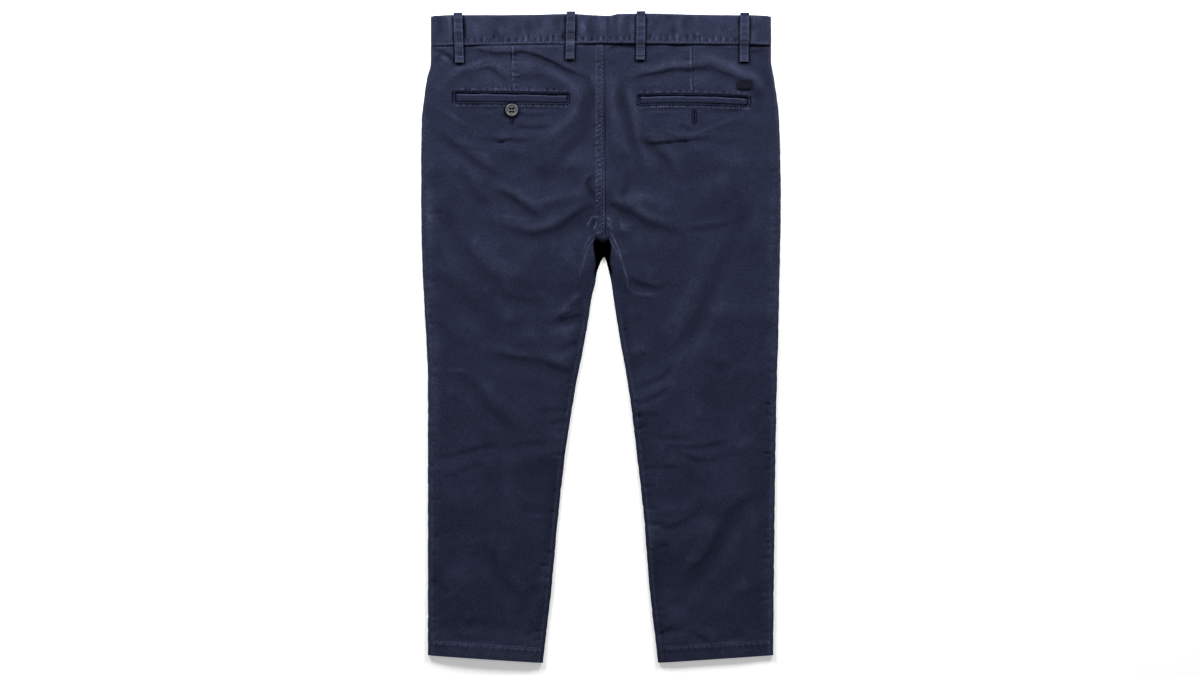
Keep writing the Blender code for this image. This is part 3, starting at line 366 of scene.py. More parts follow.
    "left calf lit": (0.7, 7.0, 7.0, ((-112, -30), (-94, -44), (-79, -59), (-64, -70), (-46, -79))),
    "left calf inner 1": (-0.8, 2.4, 3.0, ((-58, -63.5), (-44, -62.5), (-27, -62))),
    "left calf inner 2": (-1.4, 1.6, 2.4, ((-45, -75), (-36, -72), (-25, -70))),
    "left calf inner 3": (-0.6, 3.5, 4.0, ((-56, -94), (-43, -91.5), (-31, -89.5))),
    "left shin top": (-1.1, 3.0, 4.0, ((-80, -97), (-70, -92.5), (-60, -90.5), (-43, -91))),
    "left shin line": (-1.4, 2.8, 2.2, ((-149, -103), (-130, -102), (-118, -99.5), (-106, -96), (-94, -94),
        (-79, -97))),
    "left shin line 2": (-1.0, 2.4, 2.6, ((-126, -116.5), (-112, -112), (-95, -107))),
    "left shin line 3": (-0.6, 1.6, 1.8, ((-135, -119.5), (-128, -117.5), (-120, -116))),
    "right calf 1": (-1.1, 2.0, 2.4, ((20, -68.5), (30, -66.5), (42, -66), (53, -67.5))),
    "right calf 2": (-1.2, 3.0, 2.6, ((35, -79), (46, -85.5), (58, -86), (82, -87.5))),
    "right calf 3": (-1.5, 2.0, 3.0, ((45, -88.5), (60, -92.8), (71.5, -93.6), (84, -93.6), (97, -91.5),
        (113, -86))),
    "right calf 4": (-1.1, 2.6, 3.0, ((41, -102), (54.5, -97), (63, -97), (71.5, -101), (82, -105.5),
        (97, -104.5), (116, -100.5))),
    "right calf 6": (-0.9, 1.8, 2.6, ((28, -113), (41.5, -112), (54.5, -110.8), (71, -109))),
    "right calf lit": (0.45, 4.5, 4.5, ((96, -98), (115, -93), (135, -88.5))),
    # shins
    "left shin edge": (-1.4, 5.0, 3.4, ((-71, -149.5), (-58, -147), (-48, -146), (-34, -145))),
    "left shin edge lit": (0.8, 2.2, 3.0, ((-62, -152.5), (-48, -151), (-34, -150))),
    "left shin puff": (0.6, 9.0, 9.0, ((-98, -162), (-86, -178), (-74, -196))),
    "left shin soft lit": (0.6, 8.0, 8.0, ((-66, -174), (-52, -168), (-38, -161))),
    "left shin diagonal": (-0.9, 5.0, 6.0, ((-97, -172), (-92, -192), (-86, -205), (-77, -214), (-69, -221),
        (-63, -232), (-71, -242))),
    "left shin hollow": (-1.2, 5.0, 5.0, ((-75, -242), (-66, -226), (-60, -218), (-48, -209))),
    "left shin inner dark": (-0.9, 3.0, 3.0, ((-58, -210), (-52, -197), (-45, -186))),
    "left shin outer": (-1.0, 3.0, 3.0, ((-144, -201), (-136, -211), (-128, -219))),
    "left low lit": (0.2, 8.0, 8.0, ((-129, -196), (-119, -205), (-109, -215))),
    "right shin small": (-1.4, 3.0, 3.0, ((43, -149), (49, -157), (57, -162.5), (66, -160), (76, -154.5),
        (84, -147), (91, -135))),
    "right shin small lit": (0.8, 5.0, 4.0, ((43, -147), (58, -145), (70, -145), (83, -138))),
    "right shin diagonal": (-1.8, 5.5, 7.5, ((56, -228), (70, -213), (77, -206), (84, -198.5), (91, -190),
        (98, -180), (103, -170), (108, -160), (113, -151), (124, -141), (138, -132), (152, -120))),
    "right shin lit 2": (1.2, 8.0, 8.0, ((64, -198), (80, -184), (92, -166), (101, -148))),
    "right shin lit": (0.7, 8.0, 8.0, ((52, -184), (71.6, -172), (85, -161), (96, -144))),
    "right shin v 1": (-1.1, 1.6, 1.6, ((37, -174), (48, -175.5), (58, -177.5))),
    "right shin v 2": (-1.3, 2.0, 2.0, ((39, -183.5), (47, -180), (53, -177.5), (60, -177))),
    "right shin tick 1": (-0.8, 1.5, 2.0, ((41, -197), (48, -193.5), (56, -191.5))),
    "right shin tick 2": (-0.9, 1.5, 2.2, ((41, -206), (54.5, -210.5), (71, -213.5))),
    "right shin blur 1": (-1.0, 4.0, 4.0, ((53, -228), (64, -225.5), (76, -222))),
    "right shin blur 2": (-1.0, 3.0, 3.0, ((40, -239.5), (50, -237.5), (61, -235.5))),
    "right low lit": (1.0, 8.0, 8.0, ((96, -236), (107, -223), (116, -214), (133, -201))),
    # above the hems
    "left hem dark 1": (-1.4, 3.4, 2.0, ((-132, -254.5), (-112, -257), (-86, -257.5))),
    "left hem dark 2": (-0.9, 3.5, 3.5, ((-119, -244.5), (-107, -244), (-93, -243.5))),
    "left hem dark 3": (-1.1, 3.5, 3.5, ((-66, -254), (-57, -250), (-50, -245))),
    "right hem dark 1": (-1.5, 3.5, 3.0, ((41, -253), (53, -252), (62, -249), (73, -249.5))),
    "right hem dark 2": (-1.2, 2.4, 3.0, ((72, -249.5), (83.5, -255), (95, -261))),
    "right hem dark 3": (-1.5, 4.6, 2.4, ((96, -256), (110, -255.5), (125, -252.5))),
}

# Sharp lines in the cloth: rise, half width and route
SHARP_LINES = (
    (-1.5, 2.7, ((-40, 12.5), (-33, 15.5), (-27, 17.6), (-20, 18.6), (-12.5, 16.6))),
    # folds that lap over
    (-0.6, 0.8, ((-106, 243.6), (-98.5, 242.4), (-92, 241.3), (-84, 241), (-76, 242))),
    (-0.5, 0.8, ((-74, 242.4), (-64, 241.6), (-54, 239), (-45, 235.5), (-37, 232), (-30, 228.6))),
    (-0.4, 0.8, ((24, 219.6), (33, 221.6), (42, 223), (51, 225), (60, 227.6), (70, 228.8))),
    (-0.45, 0.8, ((82, 230.2), (92, 229.6), (100, 226.4), (108, 222.6), (117, 218.5), (125, 214))),
    (-0.8, 0.7, ((-90, 166.6), (-84, 165.9), (-78, 167.2))),
    (-0.6, 0.8, ((39, 165.2), (52, 164.4), (64, 166), (76, 167), (88, 168.4))),
    (-0.5, 0.8, ((-110, 229), (-103, 231), (-97, 233), (-90, 232))),
    # cloth drawn together where the seams cross
    (0.7, 0.8, ((-12.8, 93), (-10.2, 98), (-7.8, 101.8), (-6, 103), (-3, 101.6), (0, 99.6))),
    (0.6, 0.7, ((-6.4, 90.5), (-4.6, 95), (-2.2, 98.5))),
    (-0.7, 0.9, ((-9, 92), (-7, 96.5), (-4.5, 99.5), (-1, 98))),
    (0.22, 1.0, ((3, 112), (9, 108.5), (14, 105), (17, 100), (18, 94), (21, 90.6), (28, 90.4))),
    (0.6, 0.8, ((4.5, 102), (7.4, 99.5), (10.4, 95.6))),
    (0.5, 0.7, ((4.2, 98), (7, 95.8), (9.6, 90.6))),
    (-0.6, 0.8, ((4.5, 104), (7.4, 103), (10, 100))),
    (0.5, 0.7, ((5.4, 92), (9.2, 87), (12.6, 80), (15.8, 72), (18.5, 62))),
    (0.4, 0.7, ((-7.5, 88), (-11.5, 82), (-14.6, 75), (-17, 67))),
    # beside the lower part of the centre seam
    (0.5, 0.55, ((2.6, 165), (2.6, 130), (2.6, 110), (2.6, 80))),
)

# Short creases that run in from the edges of the legs: y at the edge, and how long each lies inwards
EDGE_TICKS = {
    ("left", "outer"): (-56.5, -66.7, -77, -88, -109, -125.4, -137.3, -151, -169.6, -184, -206, -212, -236.7,
                        -249.5),
    ("left", "inner"): (-38, -42, -50, -61, -79, -88, -100, -130, -147, -160, -169, -181.5, -194, -203.5,
                        -242, -248.6, -255.4),
    ("right", "inner"): (-66, -77, -90, -110.5, -127, -144, -159.4, -200, -231, -251),
    ("right", "outer"): (-20, -30, -56, -66, -81, -98, -102.4, -111, -127, -137.3, -145, -161, -174, -186.6,
                         -195, -208, -216.4, -221.4, -250.3),
}
TICK_LENGTH = 11.0
TICK_RISE = -0.65
TICK_HALF_WIDTH = 1.4
TICK_PINCH = 0.22
TICK_PINCH_WIDTH = 2.0
UPPER_TICK_STEP = 7.0
UPPER_TICK_RISE = -0.42

# Depth of the creases, more for broad ones
CREASE_DEPTH = 0.6
BROAD_DEPTH = 0.085
# How much gentler they are down the legs, from which y and over which length
LEG_EASE = 0.55
LEG_EASE_Y = 95.0
LEG_EASE_LENGTH = 90.0
# Unevenness of washed cloth: size across and height
UNEVEN = ((38.0, 1.2), (16.0, 0.3), (6.5, 0.06))
# Cloth that stands out is paler, partly from wear and partly as painted highlight, and the hollows get
# painted
# shade: size and height that count fully, over broad forms and over lines of sewing
BROAD_SPAN = 9.0
BROAD_HEIGHT = 1.1
LINE_CELLS = 3
LINE_HEIGHT = 0.3
# Wear of the yoke, which is most at the left hip and gone at the right one, of the edges and of the hems
YOKE_WEAR = 0.07
HIP_REACH = 150.0
EDGE_WEAR = 0.12
EDGE_LINE_WEAR = 0.35
HEM_WEAR = 0.13
# How far the seam at the crotch sags
SEAT_SAG = 3.4
# Painted shade in the darkest hollow, and from which painted shade the cloth has neither gloss nor nap and
# goes near black as painted shadow
DARKEST = 3.0
DEEP_SHADE = 1.3

# Colours
NAVY = (0.0139, 0.0171, 0.038)
# Waistband and loop cloth are lighter copies of the navy: partly faded cloth, partly painted light
NAVY_BAND = (0.0199, 0.0245, 0.0505)
NAVY_LOOP = (0.021, 0.0258, 0.053)
# Paler navy of worn cloth, also used as painted highlight; navy of painted shade; near-black painted shadow
# of the crotch pit
NAVY_PALE = (0.05, 0.06, 0.108)
NAVY_PAINTED_SHADE = (0.0009, 0.001, 0.0022)
PIT_PAINTED_SHADOW = (0.0001, 0.0001, 0.0002)
THREAD = (0.064, 0.078, 0.14)
THREAD_BUTTONHOLE = (0.0135, 0.0165, 0.036)
# Dark thread of the buttons, also laid as painted shade in the buttonholes, and the painted shade of the
# needle holes
DARK_THREAD_AND_SHADE = (0.003, 0.0035, 0.008)
NEEDLE_HOLE_SHADE = (0.0016, 0.002, 0.005)
LABEL = (0.0045, 0.005, 0.012)
LABEL_PALE = (0.014, 0.016, 0.03)

# Stage in metres, apart from the floor's height: place, aim, width and power of each light
FLOOR_HALF_SIZE = 3.0
FLOOR_Z = -0.4
SKY = (0.95, 0.97, 1.0, 1)
SKY_STRENGTH = 0.11
LIGHTS = (
    ("key_left", (-0.66, 1.0, 0.68), (0.0, 0.03, 0.0), 0.45, 20.0),
    ("key_right", (0.62, 1.0, 0.68), (0.0, 0.03, 0.0), 0.45, 17.2),
    ("top", (0.0, 0.1, 2.2), (0.0, 0.0, 0.0), 1.6, 3.0),
)
CAMERA_HEIGHT = 2.6
CAMERA_X = -0.00085
PICTURE_WIDTH = 1.02


def smooth(value):
    share = np.clip(value, 0.0, 1.0)
    return share * share * (3 - 2 * share)


def bell(away, width):
    """A round bump that is 1 in its middle and almost nothing two widths away."""
    return np.exp(-((away / width) ** 2))


def curve(table, column, at):
    """A smooth curve through the rows of a table that never overshoots them, read at some places."""
    keys = np.array(next(iter(table.values())), float)
    values = np.array(table[column], float)
    if keys[0] > keys[-1]:
        keys, values = keys[::-1], values[::-1]
    step = np.diff(keys)
    slope = np.diff(values) / step
    same = slope[:-1] * slope[1:] > 0
    both = np.where(same, slope[:-1] + slope[1:], 1.0)
    inner = np.where(same, 2 * slope[:-1] * slope[1:] / both, 0.0)
    tangent = np.concatenate([slope[:1], inner, slope[-1:]])
    at = np.clip(np.asarray(at, float), keys[0], keys[-1])
    cell = np.clip(np.searchsorted(keys, at) - 1, 0, len(step) - 1)
    t = (at - keys[cell]) / step[cell]
    rise = values[cell + 1] - values[cell]
    a = tangent[cell] * step[cell]
    b = tangent[cell + 1] * step[cell]
    return values[cell] + a * t + (3 * rise - 2 * a - b) * t**2 + (a + b - 2 * rise) * t**3


def spread(knots, steps):
    """Places between knots, with a number of even steps for each stretch and every knot among them."""
    places = [np.linspace(a, b, count, endpoint=False) for a, b, count in zip(knots, knots[1:], steps)]
    return np.concatenate(places + [np.array(knots[-1:], float)])


def rounded(route, step=2.0):
    """Points about one step apart on a smooth curve through the points of a route."""
    points = np.array(route, float)
    ends = np.vstack([2 * points[0] - points[1], points, 2 * points[-1] - points[-2]])
    stretches = []
    for a, b, c, d in zip(ends, ends[1:], ends[2:], ends[3:]):
        count = max(2, round(float(np.hypot(*(c - b))) / step))
        t = np.linspace(0, 1, count, endpoint=False)[:, None]
        bend = (2 * a - 5 * b + 4 * c - d) * t**2 + (3 * b - a - 3 * c + d) * t**3
        stretches.append(0.5 * (2 * b + (c - a) * t + bend))
    return np.vstack(stretches + [points[-1:]])


def moved(route, across, along=0.0):
    return tuple((x + across, y + along) for x, y in route)


def pinch(side, edge, y):
    """How far the edge of a leg is drawn in beside its short creases."""
    drawn = np.zeros_like(y)
    for place in EDGE_TICKS[side, edge]:
        drawn = drawn + TICK_PINCH * bell(y - place, TICK_PINCH_WIDTH)
    phase = {"left": 0.7, "right": 2.9}[side]
    return drawn + 0.07 * np.sin(y / 1.9 + phase) + 0.08 * np.sin(y / 5.3 + 2 * phase)


def outer_m(side, y):
    y = np.asarray(y, float)
    return curve(OUTER_EDGE, side, y) - smooth((240 - y) / 12) * pinch(side, "outer", y)


def inner_m(side, y):
    y = np.asarray(y, float)
    return curve(INNER_EDGE, side, y) + smooth((30 - y) / 12) * pinch(side, "inner", y)


def inseam_m(side, y):
    """The inseam on the upper side, where the front cloth wrapped over the edge meets the back."""
    lowest = INSEAM["y"][-1]
    along_edge = np.maximum(inner_m(side, y) + INSEAM_STRIP, curve(INSEAM, side, y) - (lowest - y))
    return np.where(y >= lowest, curve(INSEAM, side, y), along_edge)


def line_y(line, side, m):
    """y of a row line at a distance m from the middle."""
    inner_y, left_y, right_y = ROW_LINES[line]
    outer_y = left_y if side == "left" else right_y
    return inner_y + np.clip(m / HALF_WIDTH, 0, 1) * (outer_y - inner_y)


def waist_seam_y(x):
    return float(line_y("waist seam", "left" if x < 0 else "right", abs(x)))


def pocket_bow(side, m):
    outer, inner, bow = POCKETS[side]
    return bow * np.sin(math.pi * np.clip((m - inner) / (outer - inner), 0, 1))


def pocket_y(line, side, m):
    """y of the mouth or the base of a welt pocket."""
    return line_y("pocket " + line, side, m) + pocket_bow(side, m)


def hem_y(side, m):
    inner, outer = HEM_LINE[side]
    return inner + np.clip((m - 49) / 98.0, 0, 1) * (outer - inner)


def front_lift(x, y):
    """How far the front cloth is raised off the floor by the loops and the button that it lies on."""
    x, y = np.asarray(x, float), np.asarray(y, float)
    lift = np.zeros(np.broadcast(x, y).shape)
    near = LOOP_WIDTH / 2 + LOOP_SHOULDER
    for loop_x, y_foot in FRONT_LOOPS.values():
        across = 1 - smooth((abs(x - loop_x) - near) / LOOP_RAMP)
        along = smooth((y - y_foot + 3 + 2 * LOOP_RAMP) / (2 * LOOP_RAMP))
        lift = np.maximum(lift, (LOOP_WALL + SEAM_GAP) * across * along)
    away = np.hypot(x - WAIST_BUTTON_XY[0], y - WAIST_BUTTON_XY[1])
    by_button = 1 - smooth((away - BUTTON_LIFT_RADIUS) / (BUTTON_LIFT_END - BUTTON_LIFT_RADIUS))
    return np.maximum(lift, (BUTTON_HEIGHT + SEAM_GAP) * by_button)


def fullness_of(side, x, y):
    """Plain height of the upper side without its creases, and the distances to its edges."""
    m = SIDES[side] * x
    from_outer = curve(OUTER_EDGE, side, y) - m - EDGE_RADIUS
    from_inner = m - curve(INNER_EDGE, side, np.minimum(y, CROTCH_FOLD_Y)) - EDGE_RADIUS
    from_inner = from_inner + 2 * np.maximum(y - CROTCH_FOLD_Y, 0.0)
    edge = smooth(from_outer / OUTER_SLOPE) * smooth(from_inner / INNER_SLOPE)
    return edge * curve(FULLNESS, "rise", y), from_outer, from_inner


def both_sides(x, left, right):
    return np.where(x < FRONT_SEAM_X, left, right)


class Field:
    """A surface's relief on an even raster over the garment."""

    CELL = 0.5
    X = np.arange(-158.0, 158.5, CELL)
    Y = np.arange(-282.0, 279.5, CELL)

    def __init__(self, z=0.0):
        self.z = np.zeros((len(self.Y), len(self.X))) + z

    def window(self, low, high):
        rows = np.flatnonzero((self.Y >= low[1]) & (self.Y <= high[1]))
        columns = np.flatnonzero((self.X >= low[0]) & (self.X <= high[0]))
        x, y = np.meshgrid(self.X[columns], self.Y[rows])
        return np.ix_(rows, columns), x, y

    def crease(self, rise, left, right, route, fade=0.3, uneven=0.22):
        """A trough or ridge along a route, with its own half width on either side."""
        line = rounded(route)
        reach = 2.3 * max(left, right)
        where, x, y = self.window(line.min(0) - reach, line.max(0) + reach)
        nearest = np.full(x.shape, np.inf)
        half = np.full(x.shape, left, float)
        share = np.zeros(x.shape)
        for number, (start, end) in enumerate(zip(line, line[1:])):
            way = end - start
            along = ((x - start[0]) * way[0] + (y - start[1]) * way[1]) / (way @ way)
            along = np.clip(along, 0.0, 1.0)
            dx = x - start[0] - along * way[0]
            dy = y - start[1] - along * way[1]
            away = np.hypot(dx, dy)
            closer = away < nearest
            nearest = np.where(closer, away, nearest)
            half = np.where(closer, np.where(way[0] * dy > way[1] * dx, left, right), half)
            share = np.where(closer, (number + along) / (len(line) - 1), share)
        taper = smooth(np.minimum(share, 1 - share) / fade)
        vary = 1 + uneven * np.sin(8.5 * share + route[0][0])
        self.z[where] += rise * taper * vary * bell(nearest, half)

    def line(self, rise, half, route, fade=0.3, uneven=0.22):
        """A crease that is the same on both sides."""
        self.crease(rise, half, half, route, fade, uneven)

    def add_unevenness(self, share, first_seed):
        """Adds soft bumps and hollows of a few sizes, each from random heights on a coarse grid."""
        for number, (size, height) in enumerate(UNEVEN):
            rng = np.random.default_rng(number + first_seed)
            column = (self.X - self.X[0]) / size
            row = (self.Y - self.Y[0]) / size
            heights = rng.normal(0, share * height, (int(row[-1]) + 2, int(column[-1]) + 2))
            self.z += between(heights, column[None, :], row[:, None], eased=True)

    def blurred(self, cells):
        """The relief averaged over a square of cells."""
        width = 2 * cells + 1
        z = np.pad(self.z, cells, mode="edge")
        total = np.insert(np.cumsum(z, axis=0), 0, 0.0, axis=0)
        z = (total[width:] - total[:-width]) / width
        total = np.insert(np.cumsum(z, axis=1), 0, 0.0, axis=1)
        return (total[:, width:] - total[:, :-width]) / width

    def proud(self, spared, sign=1):
        """How far the cloth stands out beside a line of sewing, or lies low where the sign is -1."""
        return np.clip(sign * (self.z - self.blurred(LINE_CELLS)) / LINE_HEIGHT - spared, 0, 1)

    def broad_relief(self):
        """How far the cloth stands out of its broad surroundings, negative in the hollows."""
        return (self.z - self.blurred(round(BROAD_SPAN / self.CELL))) / BROAD_HEIGHT

    def at(self, x, y):
        column = np.clip((np.asarray(x, float) - self.X[0]) / self.CELL, 0, len(self.X) - 1.001)
        row = np.clip((np.asarray(y, float) - self.Y[0]) / self.CELL, 0, len(self.Y) - 1.001)
        return between(self.z, column, row)


def between(z, column, row, eased=False):
    """Values of a grid at places between its rows and columns."""
    c, r = column.astype(int), row.astype(int)
    u, v = column - c, row - r
    if eased:
        u, v = smooth(u), smooth(v)
    low = z[r, c] * (1 - u) + z[r, c + 1] * u
    high = z[r + 1, c] * (1 - u) + z[r + 1, c + 1] * u
    return low * (1 - v) + high * v


def add_ticks(field):
    """Short creases of the seam allowances along the edges of the legs."""
    rng = np.random.default_rng(11)
    for (side, edge), places in EDGE_TICKS.items():
        sign = SIDES[side]
        edge_m, inwards, top = (outer_m, -1, 150.0) if edge == "outer" else (inner_m, 1, 8.0)
        extra = np.arange(top, max(places) + 6, -UPPER_TICK_STEP)
        extra = extra + rng.uniform(-2.0, 2.0, len(extra))
        lower = np.arange(max(places) - 4, -252, -UPPER_TICK_STEP) + 0.0
        lower = lower + rng.uniform(-2.5, 2.5, len(lower))
        rows = [(y, TICK_RISE, 1.0) for y in places]
        rows += [(y, UPPER_TICK_RISE, 0.8) for y in extra]
        rows += [(y, UPPER_TICK_RISE, 0.6) for y in lower]
        for y, rise, share in rows:
            start = edge_m(side, y)
            length = share * TICK_LENGTH * rng.uniform(0.7, 1.4)
            slope = rng.uniform(-0.25, 0.25)
            route = (
                (sign * (start - inwards * 5.0), y),
                (sign * start, y),
                (sign * (start + inwards * length * 0.5), y + 0.3 * slope * length),
                (sign * (start + inwards * length), y + slope * length),
            )
            field.line(rise * rng.uniform(0.5, 1.4), TICK_HALF_WIDTH, route)


def add_seam_puckers(field):
    """Gathers that the sewing draws beside the pockets, darts, centre seam and hems."""
    rng = np.random.default_rng(5)
    for side, sign in SIDES.items():
        outer, inner, _ = POCKETS[side]
        for m in np.arange(inner + 4, outer - 3, 4.6):
            m = m + rng.uniform(-1.5, 1.5)
            y = pocket_y("mouth", side, m)
            high = rng.uniform(5.0, 8.0)
            lean = rng.uniform(-0.8, 0.8)
            route = ((sign * m, y + 0.6), (sign * m + lean, y + 0.5 * high), (sign * m + 2 * lean, y + high))
            field.line(-0.8 * rng.uniform(0.4, 1.4), 1.0, route, fade=0.5)
        for m in np.arange(inner + 3, outer - 3, 5.2):
            m = m + rng.uniform(-1.4, 1.4)
            y = pocket_y("base", side, m)
            route = ((sign * m, y - 1.0), (sign * m + 0.4, y - 2.8), (sign * m + 0.8, y - 5.0))
            field.line(-0.4 * rng.uniform(0.5, 1.4), 0.9, route, fade=0.5)
        for m in np.arange(52, 144, 5.4):
            m = m + rng.uniform(-1.2, 1.2)
            y = hem_y(side, m)
            lean = rng.uniform(0.5, 2.6)
            route = ((sign * m, y + 0.5), (sign * (m + 0.4 * lean), y - 4), (sign * (m + lean), y - 9))
            field.line(-0.36 * rng.uniform(0.5, 1.4), 1.2, route, fade=0.4)
    y = 243.0
    while y > 89:
        y -= rng.uniform(3.0, 6.5) if y > 130 else rng.uniform(2.4, 4.2)
        lean = rng.uniform(0.6, 2.6) * (1 if y < 205 else 0.2)
        start = rng.uniform(-7.5, -2.5)
        route = ((start, y - lean), (start / 2, y - 0.2 * lean), (1.6, y + lean))
        field.crease(-0.55 * rng.uniform(0.2, 1.6), 0.8, 1.0, route, fade=0.5)
        if y < 185:
            field.line(0.32 * rng.uniform(0.3, 1.5), 0.7, moved(route, 0, 1.9), fade=0.5)
    for y in np.arange(240, 212, -4.8):
        y = y + rng.uniform(-1.0, 1.0)
        route = ((-78.5, y + 0.2), (-74.2, y), (-67.5, y - 1.2))
        field.crease(-0.5 * rng.uniform(0.3, 1.6), 0.8, 1.3, route, fade=0.4)
        beside = (route[0], *moved(route[1:], 0, -2.3))
        field.line(0.3 * rng.uniform(0.2, 1.6), 0.7, beside, fade=0.4)
    for y in np.arange(236, 212, -5.0):
        route = ((70.0, y + 0.3), (74.5, y), (78.2, y))
        field.crease(-0.4 * rng.uniform(0.6, 1.3), 0.9, 1.2, route, fade=0.4)


def add_sewn_lines(field):
    """Raised allowances and stitched-down lines of the darts, centre seam, pockets and hems."""
    for route, bulge in DARTS:
        field.line(-1.0, 0.6, route, 0.06, 0.3)
        field.line(0.45, 0.6, moved(route, bulge), 0.1, 0.5)
    field.line(-0.5, 0.5, ((3.6, 251), (3.6, 200), (3.6, 140), (3.6, 84)), 0.02, 0.1)
    where, x, y = field.window((-12, 80), (12, 252))
    allowance = smooth((x + 5.6) / 1.6) * smooth((3.2 - x) / 0.9)
    field.z[where] += 0.32 * allowance * smooth((y - 86) / 4)
    field.line(-0.5, 0.6, ((2.1, 250), (2.1, 200), (2.1, 140), (2.1, 86)), 0.02, 0.1)
    for side, sign in SIDES.items():
        outer, inner, _ = POCKETS[side]
        m = np.linspace(inner - 2, outer + 2, 24)
        for line, rise, above, below, along, fade, uneven in POCKET_LINES:
            route = tuple(zip(sign * m, pocket_y(line, side, m) + along))
            field.crease(rise, above, below, route, fade, uneven)
        for end in STITCH_BOX[side]:
            top = float(line_y("pocket mouth", side, end)) + 1.0
            low = float(line_y("pocket base", side, end)) - 2.2
            route = ((sign * end, top), (sign * end, (top + low) / 2), (sign * end, low))
            field.line(-0.7, 0.7, route, 0.1, 0.1)
        m = np.linspace(44, 150, 30)
        line = hem_y(side, m)
        field.crease(-0.35, 0.8, 0.7, tuple(zip(sign * m, line)), 0.01, 0.2)
        field.crease(0.3, 1.4, 2.4, tuple(zip(sign * m, line - 2.2)), 0.02, 0.2)


def fine_relief():
    """What runs up to the edges: puckers, sewn lines, short creases, sharp lines and the inseam's ridge."""
    fine = Field()
    add_seam_puckers(fine)
    add_sewn_lines(fine)
    add_ticks(fine)
    for rise, half, route in SHARP_LINES:
        fine.line(rise, half, route, fade=0.25)
    for side, (rise, half, points) in INSEAM_RIDGE.items():
        ridge = tuple((SIDES[side] * m, y) for y, m in zip(INSEAM["y"][:points], INSEAM[side]))
        fine.line(rise, half, ridge, uneven=0.3)
    return fine


def upper_field():
    """Height of the outer face of the upper side, the wear and painted highlight of its ridges and the
    painted shade of its hollows.
    """
    field = Field()
    x, y = np.meshgrid(field.X, field.Y)
    plain = {side: fullness_of(side, x, y) for side in SIDES}
    rise, from_outer, from_inner = (both_sides(x, plain["left"][k], plain["right"][k]) for k in range(3))
    from_edge = np.minimum(from_outer, from_inner)
    for crease_rise, above, below, route in CREASES.values():
        gentle = 1 - LEG_EASE * smooth((LEG_EASE_Y - route[len(route) // 2][1]) / LEG_EASE_LENGTH)
        depth = CREASE_DEPTH * gentle + BROAD_DEPTH * (above + below) / 2
        field.crease(depth * crease_rise, above, below, route)
    field.add_unevenness(1.0, 20)
    field.z *= smooth(np.minimum(from_outer + 2.5, from_inner + 3.5) / FOLD_FADE)
    broad_relief = field.broad_relief()
    fine = fine_relief()
    wear_and_highlight = Field(np.maximum(fine.z, 0)).proud(0.05) + 0.3 * fine.proud(0.12)
    # broad ridges paler: partly wear, partly painted highlight
    wear_and_highlight += 0.4 * np.clip(broad_relief, 0, 1)
    wear_and_highlight += YOKE_WEAR * (1 - x / HIP_REACH) * smooth((y - 203) / 14)
    wear_and_highlight += EDGE_WEAR * (1 - smooth((from_outer - 2.0) / 8.0)) * smooth((200 - y) / 40)
    wear_and_highlight += EDGE_LINE_WEAR * bell(from_edge - 1.9, 0.8) * smooth((70 - y) / 50)
    wear_and_highlight += HEM_WEAR * smooth((-240 - y) / 14)
    # painted shade in the hollows of the sewn lines and of the broad forms
    hollow_shade = fine.proud(0.1, -1) + 0.75 * np.clip(-broad_relief, 0, 1)
    # seam allowances inside, along the outer edges and along the inner edges of the legs
    for height, away, width, shown in (
        (0.35, from_outer, 7.5, smooth((238 - y) / 12)),
        (0.3, from_inner, 6.0, smooth((10 - y) / 20)),
    ):
        allowance = (1 - smooth((away - width) / 2.5)) * shown
        fine.z += height * allowance * smooth((away + 1.5) / 2.0)
    field.z += fine.z * smooth((from_edge + 2.0) / 1.6)
    height = EDGE_HEIGHT + rise + field.z
    field.z = LOWEST_UPPER + SOFT_FLOOR * np.logaddexp(0, (height - LOWEST_UPPER) / SOFT_FLOOR)
    field.z = np.maximum(field.z, front_lift(x, y) + 2 * CLOTH + SEAM_GAP)
    return field, Field(wear_and_highlight), Field(hollow_shade)


UPPER, RIDGES, HOLLOW_SHADE = upper_field()


